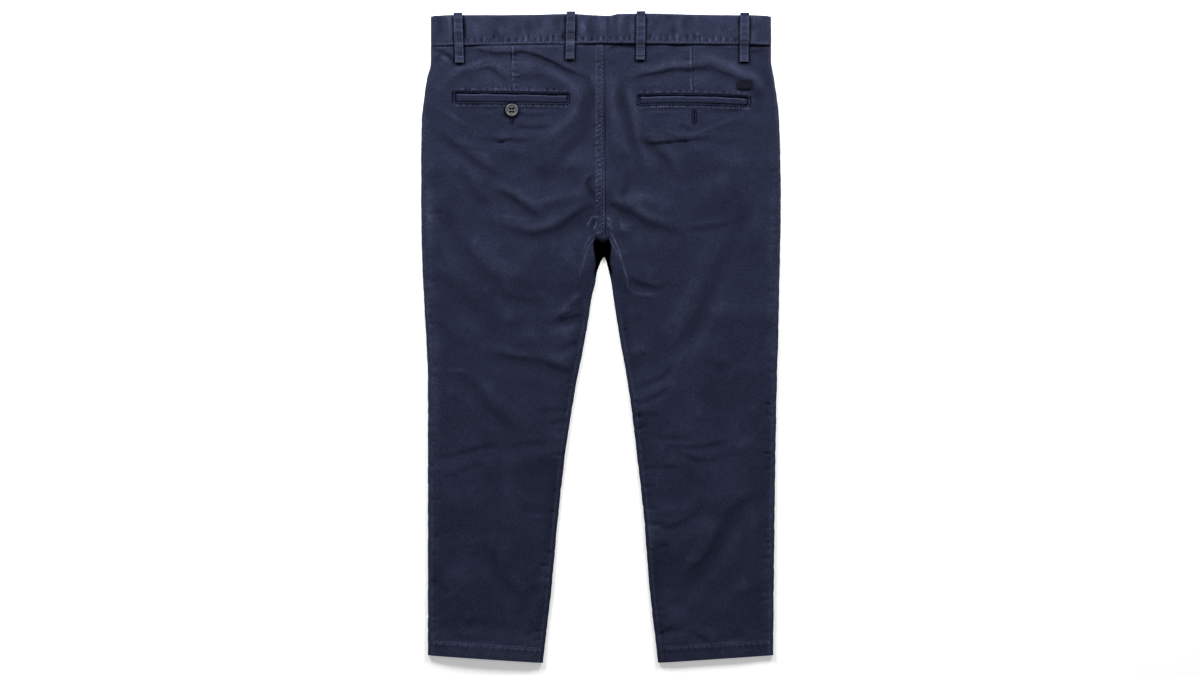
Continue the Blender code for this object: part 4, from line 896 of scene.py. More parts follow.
def band_field():
    """Relief of the waistband's outer face over the back, the wear and painted highlight of its ridges and
    the painted shade of its hollows.
    """
    field = Field()
    rng = np.random.default_rng(3)
    for start, end in ((-112, -32), (-20, 4), (8, 30), (40, 114)):
        for x in np.arange(start, end, 5.6):
            x = x + rng.uniform(-1.3, 1.3)
            low = waist_seam_y(x)
            high = rng.uniform(6.0, 11.0)
            lean = rng.uniform(-0.7, 0.7)
            route = ((x, low + 0.6), (x + lean, low + 0.5 * high), (x + 2 * lean, low + high))
            field.line(-0.6 * rng.uniform(0.5, 1.3), 1.3, route, fade=0.45)
            field.line(0.42 * rng.uniform(0.3, 1.5), 1.0, moved(route, 2.4), fade=0.45)
    for x_top, x_foot, _ in BACK_LOOPS.values():
        route = ((x_foot, 249), (0.5 * (x_top + x_foot), 260), (x_top, 273))
        for away in (-5.3, 5.3):
            field.line(-0.6, 1.4, moved(route, away), fade=0.2)
    for x, rise, half in BAND_SEAM_LINES:
        field.line(rise, half, ((x, 250), (x + 0.3, 262), (x, 274)), fade=0.12)
    for x in np.arange(-138, 140, 11.0):
        x = x + rng.uniform(-4, 4)
        lean = rng.uniform(-5, 5)
        low, high = rng.uniform(242, 252), rng.uniform(268, 282)
        route = ((x, low), (x + 0.4 * lean, (low + high) / 2), (x + lean, high))
        field.line(rng.choice((-1, 1)) * rng.uniform(0.5, 1.2), 3.4, route, fade=0.5)
    for x in (-139, -127, -101, -84, -66, -49, -30, 28, 55, 76, 98, 128, 141):
        route = ((x - 3, 244), (x + rng.uniform(-3, 3), 262), (x + rng.uniform(-6, 6), 280))
        field.line(rng.uniform(-1.3, 1.3), 6.0, route)
    field.add_unevenness(0.8, 40)
    broad_relief = field.broad_relief()
    # ridges of the band paler, partly wear and partly painted highlight; painted shade in its hollows
    wear_and_highlight = field.proud(0.1) + 0.4 * np.clip(broad_relief, 0, 1)
    hollow_shade = field.proud(0.1, -1) + 0.9 * np.clip(-broad_relief, 0, 1)
    return field, Field(wear_and_highlight), Field(hollow_shade)


BAND, BAND_RIDGES, BAND_HOLLOW_SHADE = band_field()


def band_upper(x, y):
    """Height of the outer face of the waistband where it lies over the back."""
    plain = [fullness_of(side, np.asarray(x, float), 247.0)[0] for side in SIDES]
    bulge = 0.8 * bell(x - FRONT_SEAM_X, 16.0)
    height = EDGE_HEIGHT + both_sides(x, *plain) + BAND_STEP + bulge + BAND.at(x, y)
    return np.maximum(height, front_lift(x, y) + 2 * BAND_WALL + SEAM_GAP)


def mesh_piece(name, points, faces, attributes=None, smooth_angle=50):
    """A mesh object in metres with its faces pointing out, shaded smooth but for sharp edges."""
    mesh = bpy.data.meshes.new(name)
    mesh.vertices.add(len(points))
    mesh.vertices.foreach_set("co", (np.asarray(points, float) * MM).astype(np.float32).ravel())
    sizes = np.array([len(face) for face in faces])
    corners = np.concatenate([np.asarray(face) for face in faces])
    mesh.loops.add(len(corners))
    mesh.loops.foreach_set("vertex_index", corners.astype(np.int32))
    mesh.polygons.add(len(faces))
    mesh.polygons.foreach_set("loop_start", np.concatenate([[0], np.cumsum(sizes)[:-1]]).astype(np.int32))
    mesh.update(calc_edges=True)
    mesh.validate()
    for key, values in (attributes or {}).items():
        layer = mesh.attributes.new(key, "FLOAT", "POINT")
        layer.data.foreach_set("value", np.asarray(values, np.float32).ravel())
    made = bpy.data.objects.new(name, mesh)
    bpy.context.scene.collection.objects.link(made)
    mesh.shade_smooth()
    mesh.set_sharp_from_angle(angle=math.radians(smooth_angle))
    return made


def shell(name, outer, inner, keep=None, wear_and_highlight=0.0, shade=0.0):
    """A closed wall between two nets of points, over the cells to keep."""
    rows, columns = outer.shape[:2]
    if keep is None:
        keep = np.ones((rows - 1, columns - 1), bool)
    number = np.arange(rows * columns).reshape(rows, columns)
    cells = np.stack([number[:-1, :-1], number[:-1, 1:], number[1:, 1:], number[1:, :-1]], -1)[keep]
    corners = outer.reshape(-1, 3)
    a, b, d = (corners[cells[:, k]] for k in (0, 1, 3))
    into = inner.reshape(-1, 3)[cells[:, 0]] - a
    if (np.cross(b - a, d - a) * into).sum() > 0:
        cells = cells[:, ::-1]
    count = rows * columns
    edges = np.concatenate([cells[:, [k, (k + 1) % 4]] for k in range(4)])
    keys = edges[:, 0] * count + edges[:, 1]
    rim = edges[~np.isin(keys, edges[:, 1] * count + edges[:, 0])]
    walls = np.stack([rim[:, 1], rim[:, 0], rim[:, 0] + count, rim[:, 1] + count], -1)
    faces = np.concatenate([cells, cells[:, ::-1] + count, walls])
    used, renumbered = np.unique(faces, return_inverse=True)
    points = np.concatenate([corners, inner.reshape(-1, 3)])[used]
    layers = {}
    # wear_and_highlight and shade: paling from wear and painted highlight, and painted shade
    for key, values in (("wear_and_highlight", wear_and_highlight), ("shade", shade)):
        values = np.broadcast_to(values, (rows, columns)).ravel()
        layers[key] = np.concatenate([values, values])[used]
    return mesh_piece(name, points, renumbered.reshape(faces.shape), layers)


def net(x, y, z):
    return np.stack(np.broadcast_arrays(x, y, z), -1).astype(float)


def side_rows(side):
    """y of every row of a side at its inner and outer end, and the number of the row of each row line."""
    outer = 1 if side == "left" else 2
    counts = list(ROW_STEPS.values())
    inner_y = spread([line[0] for line in ROW_LINES.values()], counts)
    outer_y = spread([line[outer] for line in ROW_LINES.values()], counts)
    number = dict(zip(ROW_LINES, np.concatenate([[0], np.cumsum(counts)])))
    return inner_y, outer_y, number


def edge_drop(away, depth, width):
    """How far cloth rolls down towards an edge."""
    return depth * (1 - smooth(np.maximum(away, 0) / width)) ** 1.5


def near_crotch(y):
    """How plainly the inseam shows at y: in full at the crotch, and hardly down the leg."""
    return smooth((y - 46) / 20)


def seam_line(x):
    """How wide the painted shadow line under the waistband is: broad where the back folds in beneath it."""
    folds = np.sin(x / 13.0 + 1.0) + 0.6 * np.sin(x / 5.1 + 2.0) + 0.4 * np.sin(x / 2.3)
    return 0.2 + 0.45 * smooth(0.5 + 0.45 * folds)


def loop_shadow(x, y):
    """How much of the light the belt loops keep off the cloth just beside and below them."""
    dark = np.zeros(x.shape)
    for x_top, x_foot, y_foot in BACK_LOOPS.values():
        middle = x_foot + np.clip((y - y_foot) / 40.0, 0, 1) * (x_top - x_foot)
        aside = np.abs(x - middle) - LOOP_WIDTH / 2
        away = np.hypot(np.maximum(aside, 0), np.maximum(y_foot - y, 0))
        dark = np.maximum(dark, 2.6 * bell(away, 0.95))
    return dark


def button_shadow(x, y):
    """The line of shade round the pocket button."""
    away = np.hypot(x - POCKET_BUTTON_XY[0] + 0.3, y - POCKET_BUTTON_XY[1] + 0.4) - BUTTON_RADIUS
    return 2.6 * bell(np.maximum(away, 0), 1.0)


def build_back(side):
    """The back of one side, with the opening for its welt pocket."""
    sign = SIDES[side]
    inner_y, outer_y, number = side_rows(side)
    crotch, mouth, base = (number[name] for name in ("crotch", "pocket mouth", "pocket base"))
    inner_y, outer_y = inner_y[:, None], outer_y[:, None]
    rows = np.arange(len(inner_y))[:, None]
    above = rows <= crotch
    seat_inner = SEAT_SEAM_INNER[side]
    edge = outer_m(side, outer_y)
    outer = edge - SIDE_STRIP - HALF_SEAM
    split = np.where(above, seat_inner, inseam_m(side, inner_y)) + HALF_SEAM
    pocket_outer, pocket_inner, _ = POCKETS[side]
    wide = outer[mouth, 0] - split[mouth, 0]
    first, last = ((outer[mouth, 0] - m) / wide for m in (pocket_outer, pocket_inner))
    shares = spread([0, 0.004, 0.01, first, last, 0.99, 0.996, 1], [1, 1, 16, 66, 18, 1, 1])
    opening = slice(1 + 1 + 16, 1 + 1 + 16 + 66)
    centre = sign * BACK_SEAM_X + HALF_SEAM
    past = np.linspace(0, 1, SEAM_COLUMNS[side] + 1)[1:]
    m = np.concatenate([outer + shares * (split - outer), split + past * (centre - split)], axis=1)
    at_inner = np.where(above, centre, split)
    along = np.clip((m - at_inner) / (edge - at_inner), 0, 1)
    by_pocket = np.clip(1 - np.abs(rows - (mouth + base) / 2) / 30, 0, 1)
    y = inner_y + along * (outer_y - inner_y) + by_pocket * pocket_bow(side, m)
    y[0] -= HALF_SEAM
    x = sign * m

    z = UPPER.at(x, y)
    z -= edge_drop(edge - SIDE_STRIP - m, 0.25, 0.8)
    z -= edge_drop(line_y("waist seam", side, m) - y, 0.5, 1.2)
    at_inseam = (0.1 + 0.9 * near_crotch(y)) * edge_drop(m - split, 0.25, 0.8)
    z -= np.where(above, edge_drop(m - centre, 0.2, 0.6), at_inseam)
    seat_edge = np.where(above & (m < seat_inner + 1.5), y - CROTCH_Y, FAR)
    at_seat = smooth((seat_inner + 0.8 - m) / 3.5)
    z -= at_seat * edge_drop(seat_edge, 0.9, 2.4)
    y = y - SEAT_SAG * bell(x - 2.0, 4.6) * smooth(1 - seat_edge / 14)
    mouth_y, base_y = pocket_y("mouth", side, m), pocket_y("base", side, m)
    over_mouth = (m > pocket_inner - 0.3) & (m < pocket_outer + 0.3) & (rows <= mouth)
    z -= np.where(over_mouth, edge_drop(y - mouth_y, 0.45, 1.3), 0)
    keep = np.ones((len(y) - 1, m.shape[1] - 1), bool)
    keep[mouth:base, opening] = False
    keep[crotch:, len(shares) - 1:] = False

    # Painted shade: in the hollows, beside and below the loops, as a shadow line under the waistband, under
    # the seat's lower edge, round the button and round the pocket opening
    below_seam = line_y("waist seam", side, m) - y
    shade = 1.2 * HOLLOW_SHADE.at(x, y) + loop_shadow(x, y) + DARKEST * (1 - smooth(below_seam / seam_line(x)))
    shade = np.clip(np.maximum(shade, 2.4 * at_seat * (1 - smooth(seat_edge / 5.0))), 0, DARKEST)
    if side == "left":
        shade = np.maximum(shade, button_shadow(x, y))
    from_opening = np.hypot(np.maximum(np.maximum(pocket_inner - m, m - pocket_outer), 0),
                            np.maximum(np.maximum(y - mouth_y, base_y - y), 0))
    at_top = smooth((y - base_y) / (mouth_y - base_y))
    shade = np.maximum(shade, (1.1 + 1.7 * at_top) * (1 - smooth(from_opening / 0.55)))
    # Wear and painted highlight on the ridges, and a painted highlight line just below the waist seam
    wear_and_highlight = RIDGES.at(x, y) + 0.35 * bell(below_seam - 1.6, 0.8)
    return shell(f"cloth_back_{side}", net(x, y, z), net(x, y, z - CLOTH), keep, wear_and_highlight, shade)


def build_welt(side):
    """The folded welt that fills a pocket opening but for the slit along its top."""
    outer, inner, _ = POCKETS[side]
    m = np.linspace(outer - SEAM_GAP, inner + SEAM_GAP, 84)
    base = pocket_y("base", side, m)
    top = pocket_y("mouth", side, m) - POCKET_SLIT - 0.25 * np.sin(m / 9.0) * np.sin(m / 3.7)
    shares = np.array([0, 0.02, 0.06, 0.12, 0.2, 0.32, 0.45, 0.6, 0.75, 0.87, 0.95, 1.0])[:, None]
    y = top + shares * (base + 2 * HALF_SEAM - top)
    x = np.broadcast_to(SIDES[side] * m, y.shape)
    body = 0.5 * UPPER.at(x, line_y("pocket base", side, m) - 3.5)
    body = body + 0.5 * UPPER.at(x, line_y("pocket mouth", side, m) + 4.0)
    z = body + WELT_PROUD + 0.16 * np.sin(x / 6.5) * np.sin(math.pi * shares)
    z = z - 0.9 * (1 - smooth(shares / 0.1)) - 0.6 * smooth((shares - 0.9) / 0.1)
    ends = np.minimum(outer - SEAM_GAP - m, m - inner - SEAM_GAP)
    z = z - edge_drop(ends, 0.6, 1.2)
    # Painted shade along the base and the ends of the welt and a little over all of it; painted highlight
    # along its top fold
    from_base = (1 - shares) * (top - base)
    shade = 1.2 * (1 - smooth((from_base + 0.2) / 0.8)) + 2.4 * (1 - smooth(ends / 0.9)) + 0.2
    wear_and_highlight = 0.7 * bell(shares - 0.1, 0.08)
    shade = np.clip(shade, 0, DARKEST)
    return shell(f"cloth_welt_{side}", net(x, y, z), net(x, y, z - WELT_WALL), wear_and_highlight=wear_and_highlight, shade=shade)


def fold_way(side, y, below):
    """Which way the inner edge folds over in m and y, for rows so far below the crotch fold."""
    slope = inner_m(side, y + 2) - inner_m(side, y - 2)
    length = np.hypot(4.0, slope)
    way_m = smooth(below / 4.0) * (4.0 / length)
    way_y = np.sqrt(np.maximum(1 - way_m**2, 0)) * np.sign(1e-9 - slope / length)
    return way_m, np.where(below > 0, way_y, below == 0)


def inseam_strip(side, inner_y, end_m, end_y, pit, crotch):
    """The strip from the folded inner edge to the inseam, which drops into the pit at the crotch: painted
    highlight along the inseam, painted shadow in the pit.
    """
    sign = SIDES[side]
    end = inseam_m(side, inner_y) - HALF_SEAM
    foot = np.clip(curve(PIT_EDGE, side, inner_y), end_m + 0.5, end - 2.5)
    follow = smooth((inner_y - 40) / 8) * (inner_y <= CROTCH_Y)
    foot = foot * follow + (end_m + 0.35 * (end - end_m)) * (1 - follow)
    top = np.minimum(foot + PIT_WALL, end - 0.9)
    m = np.concatenate([
        a + np.linspace(0, 1, count + 1)[1:] * (b - a)
        for a, b, count in ((end_m, foot, 5), (foot, top, 3), (top, end, 5))
    ], axis=1)
    steps = m.shape[1]
    y = end_y + np.arange(1, steps + 1) / steps * (inner_y - end_y)
    y[crotch] -= HALF_SEAM
    lit = smooth((m - foot) / np.maximum(top - foot, 0.3))
    surface = UPPER.at(sign * m, y)
    floor = (PIT_FLOOR + CLOTH) * pit + surface * (1 - pit)
    z = floor + lit * (surface - floor) - (0.1 + 0.9 * near_crotch(inner_y)) * edge_drop(end - m, 0.25, 0.8)
    wear_and_highlight = 0.5 * near_crotch(inner_y) * bell(end - m, 1.0)
    return m, y, z, wear_and_highlight, DARKEST * pit * (1 - lit)


def build_facing(side, nets, cells, slant_end, slant_column, lap_columns, looks):
    """The facing of a side pocket, which laps under the front at its lower end."""
    outer, inner = nets
    edge, inwards = outer[slant_end].copy(), inner[slant_end] - outer[slant_end]
    for face in nets:
        face[:, slant_column, 0] += SIDES[side] * SEAM_GAP
        face[slant_end, :, 1] += SEAM_GAP
    for row, reach in ((slant_end + 1, HALF_SEAM), (slant_end + 2, -LAP)):
        outer[row] = edge + (1 + SEAM_GAP / CLOTH) * inwards
        outer[row, :, 1] += reach
        inner[row] = outer[row] + inwards
    cells[slant_end:slant_end + 2, :lap_columns] = True
    return shell(f"cloth_facing_{side}", outer, inner, cells, *looks)


def build_front(side):
    """The front of one side and its facing, turned up over the outer edge and the inner leg edge."""
    sign = SIDES[side]
    inner_y, outer_y, number = side_rows(side)
    kept = np.unique([*range(0, len(inner_y), 2), *number.values()])
    crotch, fold, slant_end = np.searchsorted(kept, [number[name] for name in (
        "crotch", "crotch fold", "side pocket end")])
    inner_y, outer_y = inner_y[kept, None], outer_y[kept, None]
    below = np.arange(len(kept))[:, None] - fold
    outer = outer_m(side, outer_y)
    edge = np.where(below <= 0, sign * FRONT_SEAM_X, inner_m(side, inner_y))
    way_m, way_y = fold_way(side, inner_y, below)
    end_m, end_y = edge + EDGE_RADIUS * way_m, inner_y + EDGE_RADIUS * way_y

    # strip over the outer edge, and the under side from there past the slant of the side pocket
    strip = np.array([SIDE_STRIP - HALF_SEAM, 2.1])
    strip_z = UPPER.at(sign * (outer - strip), outer_y) - edge_drop(SIDE_STRIP - strip, 0.25, 0.8)
    angle = np.linspace(0.5, -0.5, 9) * math.pi
    outer_half = UPPER.at(sign * (outer - EDGE_RADIUS), outer_y) / 2
    slant_share = np.clip((outer_y - SLANT_END_Y) / (WAIST_Y - SLANT_END_Y), 0, 1)
    slant = (outer - SLANT_END_INSET) * (1 - slant_share) + SLANT_TOP_M * slant_share
    to_slant = np.linspace(0, 1, 13)[1:]
    to_middle = np.linspace(0, 1, 49)[1:-1]
    under_m = np.concatenate([
        outer - EDGE_RADIUS + to_slant * (slant - outer + EDGE_RADIUS),
        slant + to_middle * (end_m - slant),
    ], axis=1)
    under_y = outer_y + (outer - under_m) / (outer - end_m) * (end_y - outer_y)
    low = front_lift(sign * under_m, under_y)
    slant_column = len(strip) + len(angle) + len(to_slant) - 1

    # fold of the inner edge, and from it to the inseam
    pit = smooth((inner_y - 50) / 7) * (inner_y <= CROTCH_Y)
    inner_half = (UPPER.at(sign * end_m, end_y) * (1 - pit) + (PIT_FLOOR + CLOTH) * pit) / 2
    lift = front_lift(sign * edge, inner_y)
    seam_m, seam_y, seam_z, inseam_highlight, seam_shade = inseam_strip(side, inner_y, end_m, end_y, pit, crotch)
    steps = seam_m.shape[1]

    nets = []
    for wall in (0.0, CLOTH):
        inwards = EDGE_RADIUS - (EDGE_RADIUS - wall) * np.cos(angle)
        outer_turn = outer - EDGE_RADIUS + (EDGE_RADIUS - wall) * np.cos(angle)
        inner_turn_z = inner_half - (inner_half - wall) * np.sin(angle)
        nets.append(np.concatenate([
            net(sign * (outer - strip), outer_y, strip_z - wall),
            net(sign * outer_turn, outer_y, outer_half + (outer_half - wall) * np.sin(angle)),
            net(sign * under_m, under_y, low + wall),
            net(sign * (edge + inwards * way_m), inner_y + inwards * way_y,
                np.where(below < 0, lift + wall, inner_turn_z)),
            net(sign * seam_m, seam_y, seam_z - wall),
        ], axis=1))
    rows, columns = nets[0].shape[:2]
    inseam_start = columns - steps - 1
    turn_start = inseam_start - len(angle) + 1
    keep = np.ones((rows - 1, columns - 1), bool)
    keep[:fold, turn_start:inseam_start] = False
    keep[:crotch, inseam_start:] = False
    facing = np.zeros_like(keep)
    facing[:slant_end, :slant_column] = True
    wear_and_highlight, shade = np.zeros((2, rows, columns))
    # Paler strip along the outer edge; painted highlight along the inseam and painted shadow deep in the
    # crotch pit
    wear_and_highlight[:, :4] = 0.25
    wear_and_highlight[:, -steps:] = inseam_highlight
    shade[:, inseam_start - 4:inseam_start + 1] = DARKEST * pit
    shade[:, -steps:] = seam_shade
    front = shell(f"cloth_front_{side}", *nets, keep & ~facing, wear_and_highlight, shade)
    lap_columns = len(strip) + len(angle) - 1
    return front, build_facing(side, nets, facing, slant_end, slant_column, lap_columns, (wear_and_highlight, shade))


def build_band(side):
    """One side of the waistband: over the back, round the outer edge and along the front."""
    sign = SIDES[side]
    turn_m = float(curve(OUTER_EDGE, side, 248.0)) - BAND_EDGE_RADIUS
    start, end = (sign * seam_x + HALF_SEAM for seam_x in (BAND_SEAM_X, BAND_OVERLAP_END_X))
    over_m = spread([start, start + 1, turn_m], [3, 132])
    angle = np.linspace(0.5, -0.5, 11)[1:-1] * math.pi
    m = np.concatenate([over_m, turn_m + BAND_EDGE_RADIUS * np.cos(angle), np.linspace(turn_m, end, 84)])
    shares = np.array([0, 0.012, 0.035, 0.07, *np.linspace(0.1, 0.9, 21), 0.93, 0.965, 0.988, 1.0])[:, None]
    low = line_y("waist seam", side, m) + HALF_SEAM
    y = low + shares * (curve(BAND_TOP, "y", sign * m) - low)
    x = np.broadcast_to(sign * m, y.shape)
    up, down = shares * BAND_HEIGHT, (1 - shares) * BAND_HEIGHT
    count = len(over_m)
    over_x, over_y = x[:, :count], y[:, :count]
    under_x, under_y = x[:, count + len(angle):], y[:, count + len(angle):]
    roll = edge_drop(up, 0.55, 1.3) + edge_drop(down, 0.7, 1.6)
    top = band_upper(over_x, over_y) - roll + 0.25 * np.sin(math.pi * shares)
    top = top - edge_drop(over_m - start, 0.12, 0.4)
    half = top[:, -1:] / 2
    nets = [
        np.concatenate([
            net(over_x, over_y, top - wall),
            net(sign * (turn_m + (BAND_EDGE_RADIUS - wall) * np.cos(angle)), over_y[:, -1:],
                half + (half - wall) * np.sin(angle)),
            net(under_x, under_y, front_lift(under_x, under_y) + wall),
        ], axis=1)
        for wall in (0.0, BAND_WALL)
    ]
    # Wear and painted highlight along the edges and ridges; a painted shadow line at the lower edge, and
    # painted shade in the hollows and beside the loops
    wear_and_highlight = np.broadcast_to(0.25 * bell(down, 0.9) + 0.25 * bell(up - 1.3, 0.8), x.shape).copy()
    wear_and_highlight[:, :count] += 0.8 * BAND_RIDGES.at(over_x, over_y)
    shade = 2.4 * (1 - smooth(up / (0.6 * seam_line(x))))
    shade[:, :count] += 1.2 * BAND_HOLLOW_SHADE.at(over_x, over_y) + loop_shadow(over_x, over_y)
    return shell(f"cloth_waistband_{side}", *nets, wear_and_highlight=wear_and_highlight, shade=np.clip(shade, 0, DARKEST))


def loop_piece(name, x_top, x_foot, stations, crown):
    """A belt loop from stations of (under side y, z) and (outer side y, z), from its foot to its top."""
    knots = np.array([[*under, *over] for under, over in stations], float)
    fine = np.linspace(0, len(knots) - 1, 12 * (len(knots) - 1) + 1)
    table = {"at": range(len(knots)), **dict(enumerate(knots.T))}
    under_y, under_z, over_y, over_z = (curve(table, key, fine)[:, None] for key in range(4))
    share = np.clip((under_y - knots[0, 0]) / (knots[-1, 0] - knots[0, 0]), 0, 1)
    half = np.array([1, 0.985, 0.95, 0.9, 0.84, 0.77, 0.7, 0.62, 0.54, 0.45, 0.3, 0.15])
    across = np.concatenate([-half, [0.0], half[::-1]])
    aside = np.abs(across)
    x = x_foot + share * (x_top - x_foot) + across * LOOP_WIDTH / 2
    groove = bell(aside - LOOP_STITCH, 0.1)
    folds = np.sin(under_y / 1.25 + x_top) * np.sin(under_y / 3.1 + 2 * x_top) + 0.5 * np.sin(under_y / 2.3)
    ripple = 0.2 * folds * (1 - aside**4)
    third = len(fine) // 3
    outwards = np.sign(over_z[third] - under_z[third])
    relief = outwards * (crown * (1 - across**2) - 0.3 * aside**14 - 0.22 * groove + ripple)
    outer = net(x, over_y, over_z + relief * smooth(fine[:, None] / 0.2))
    # Paler rims and fold ridges as painted highlight and wear; painted shade at the outermost rims, in the
    # stitch grooves and in the fold hollows
    wear_and_highlight = bell(aside - 0.84, 0.09) + 0.45 * np.clip(folds, 0, 1)
    shade = 1.6 * smooth((aside - 0.93) / 0.05) + 0.8 * groove + 0.8 * np.clip(-folds, 0, 1)
    return shell(name, outer, net(x, under_y, under_z), wear_and_highlight=wear_and_highlight, shade=shade)


def highest(height, x, y):
    half = LOOP_WIDTH / 2
    return float(np.max(height(np.linspace(x - half, x + half, 7), np.full(7, y))))


def build_back_loop(name):
    """A loop over the back: doubled at its foot, clear of the band and hooked over the band's upper edge."""
    x_top, x_foot, y_foot = BACK_LOOPS[name]
    seam = waist_seam_y(x_top)
    top = float(curve(BAND_TOP, "y", x_top))
    stations = []
    for y, gap, wall in (
        (y_foot, SEAM_GAP, 2 * LOOP_WALL),
        (y_foot + LOOP_FOOT - 0.6, SEAM_GAP, 2 * LOOP_WALL),
        (y_foot + LOOP_FOOT + 0.6, SEAM_GAP + LOOP_WALL * 0.6, LOOP_WALL),
        (seam - 1.6, SEAM_GAP + LOOP_WALL, LOOP_WALL),
    ):
        under = highest(UPPER.at, x_foot, y) + gap
        stations.append(((y, under), (y, under + wall)))
    for share in (0.12, 0.35, 0.6, 0.85):
        y = seam + share * (top - seam)
        under = highest(band_upper, x_top, y) + SEAM_GAP + 0.7 * math.sin(math.pi * share)
        stations.append(((y, under), (y, under + LOOP_WALL)))
    face = highest(band_upper, x_top, top - 2.5)
    stations += [
        ((top - 0.5, face + 0.3), (top - 0.2, face + 1.3)),
        ((top + 0.6, face + 0.15), (top + 1.35, face + 0.95)),
        ((top + 0.95, face - 0.5), (top + 2.0, face - 0.3)),
        ((top + 0.95, face - BAND_WALL), (top + 1.95, face - BAND_WALL)),
    ]
    return loop_piece("strap_" + name, x_top, x_foot, stations, 0.16)


def build_front_loop(name):
    """A loop under the front: flat on the floor, then up over the edge of the band."""
    x, y_foot = FRONT_LOOPS[name]
    top = float(curve(BAND_TOP, "y", x))
    stations = [((y, LOOP_WALL), (y, 0.0)) for y in (y_foot, y_foot + 14, top - 3)]
    stations.append(((top - 1.2, LOOP_WALL), (top - 0.9, 0.15)))
    return loop_piece("strap_" + name, x, x, stations, 0.0)


class Stitches:
    """Many small stitches, each a short round thread, joined into one mesh."""

    RING = 6
    PROFILE = ((0.0, 0.35), (0.12, 0.8), (0.5, 1.0), (0.88, 0.8), (1.0, 0.35))

    def __init__(self, name):
        self.name = name
        self.points = []
        self.faces = []

    def stitch(self, start, end, thick, arch=0.25):
        """One stitch between two points, arched up in the middle and sunk at its ends."""
        start, end = np.asarray(start, float), np.asarray(end, float)
        way = (end - start) / np.linalg.norm(end - start)
        side = np.cross(way, (0.0, 0.0, 1.0))
        side /= np.linalg.norm(side)
        up = np.cross(side, way)
        first = len(self.points)
        turn = 2 * math.pi * np.arange(self.RING) / self.RING
        for share, size in self.PROFILE:
            centre = start + share * (end - start) + up * thick * (arch * math.sin(math.pi * share) - 0.1)
            ring = centre + (np.outer(np.cos(turn), side) + np.outer(np.sin(turn), up)) * thick / 2 * size
            self.points.extend(ring)
        self.faces += ring_faces(first, len(self.PROFILE), self.RING)
        self.faces.append(tuple(first + k for k in reversed(range(self.RING))))
        last = first + (len(self.PROFILE) - 1) * self.RING
        self.faces.append(tuple(last + k for k in range(self.RING)))

    def run(self, route, height, pitch=2.6, fill=0.66, thick=0.55, dimple_shade=None, wide=0.85):
        """Stitches one after another along a route in x, y, with dark dashes of painted shade sunk between
        them when dimple_shade is given.
        """
        line = rounded(route, 0.7)
        gone = np.concatenate([[0], np.cumsum(np.hypot(*np.diff(line, axis=0).T))])

        def spot(at):
            x, y = np.interp(at, gone, line[:, 0]), np.interp(at, gone, line[:, 1])
            return x, y, float(height(x, y))

        for start in np.arange(0.2, gone[-1] - pitch * fill, pitch):
            end = start + pitch * fill
            self.stitch(spot(start), spot(end), thick)
            if dimple_shade is not None:
                sunk = [np.array(spot(at)) - (0, 0, 0.26 * wide) for at in (end - 0.25, start + pitch + 0.25)]
                dimple_shade.stitch(*sunk, wide, arch=0.0)

    def build(self):
        return mesh_piece(self.name, self.points, self.faces)


def ring_faces(first, rings, sides):
    """Faces between rings of points, one ring after another."""
    faces = []
    for ring in range(rings - 1):
        for k in range(sides):
            a = first + ring * sides + k
            b = first + ring * sides + (k + 1) % sides
            faces.append((a, b, b + sides, a + sides))
    return faces


def on_pocket(x, y):
    return UPPER.at(x, y) + POCKET_THREAD_LIFT


def on_band(x, y):
    return band_upper(x, y) - BAND_THREAD_SINK


def on_floor(*_):
    return FLOOR_THREAD_LIFT


def along_line(side, m_values, y_of, shift=0.0):
    return tuple((SIDES[side] * m, float(y_of(m) + shift)) for m in m_values)


def stitch_pocket(side, dimple_shade):
    """The stitched frame of a welt pocket, drawn as dark dashes of painted shade at the needle holes; its
    short ends are sewn close.
    """
    sign = SIDES[side]
    outer, inner = STITCH_BOX[side]
    corner = 1.2

    def top(m):
        return pocket_y("mouth", side, m) + 1.7

    def low(m):
        return pocket_y("base", side, m) - 1.9

    m = np.linspace(inner + corner, outer - corner, 14)
    dimple_shade.run(along_line(side, m, top), on_pocket, pitch=2.3, fill=0.65, thick=1.0)
    dimple_shade.run(along_line(side, m, low), on_pocket, pitch=2.3, fill=0.72, thick=1.4)
    for end, inwards in ((outer, -1), (inner, 1)):
        near, y_top, y_low = end + inwards * corner, float(top(end)), float(low(end))
        route = ((sign * near, y_top), (sign * end, y_top - corner), (sign * end, y_low + corner),
                 (sign * near, y_low))
        dimple_shade.run(route, UPPER.at, pitch=2.1, fill=0.85, thick=1.35)


def stitch_hem(side, hems):
    """The seam of a hem, on the upper side and under the front."""
    def y_of(m):
        return hem_y(side, m)

    m = np.linspace(HEM_THREAD_START[side], 142.5, 12)
    hems.run(along_line(side, m, y_of), UPPER.at, pitch=2.7, fill=0.8, thick=0.5)
    hems.run(along_line(side, np.linspace(54, 141, 12), y_of), on_floor, pitch=2.7, thick=0.5)


def stitch_band(side, band, dimple_shade):
    """The seam just above the lower edge of the waistband, over the back and along the front."""
    def y_of(m):
        return line_y("waist seam", side, m)

    over, under = BAND_THREAD_START[side]
    route = along_line(side, np.linspace(over, 142.0, 16), y_of, BAND_THREAD_RISE)
    # dark dashes of painted shade between the stitches
    band.run(route, on_band, pitch=2.5, thick=0.78, dimple_shade=dimple_shade)
    route = along_line(side, np.linspace(under, 141.0, 16), y_of, BAND_THREAD_RISE)
    band.run(route, front_lift, pitch=2.7, thick=0.5)


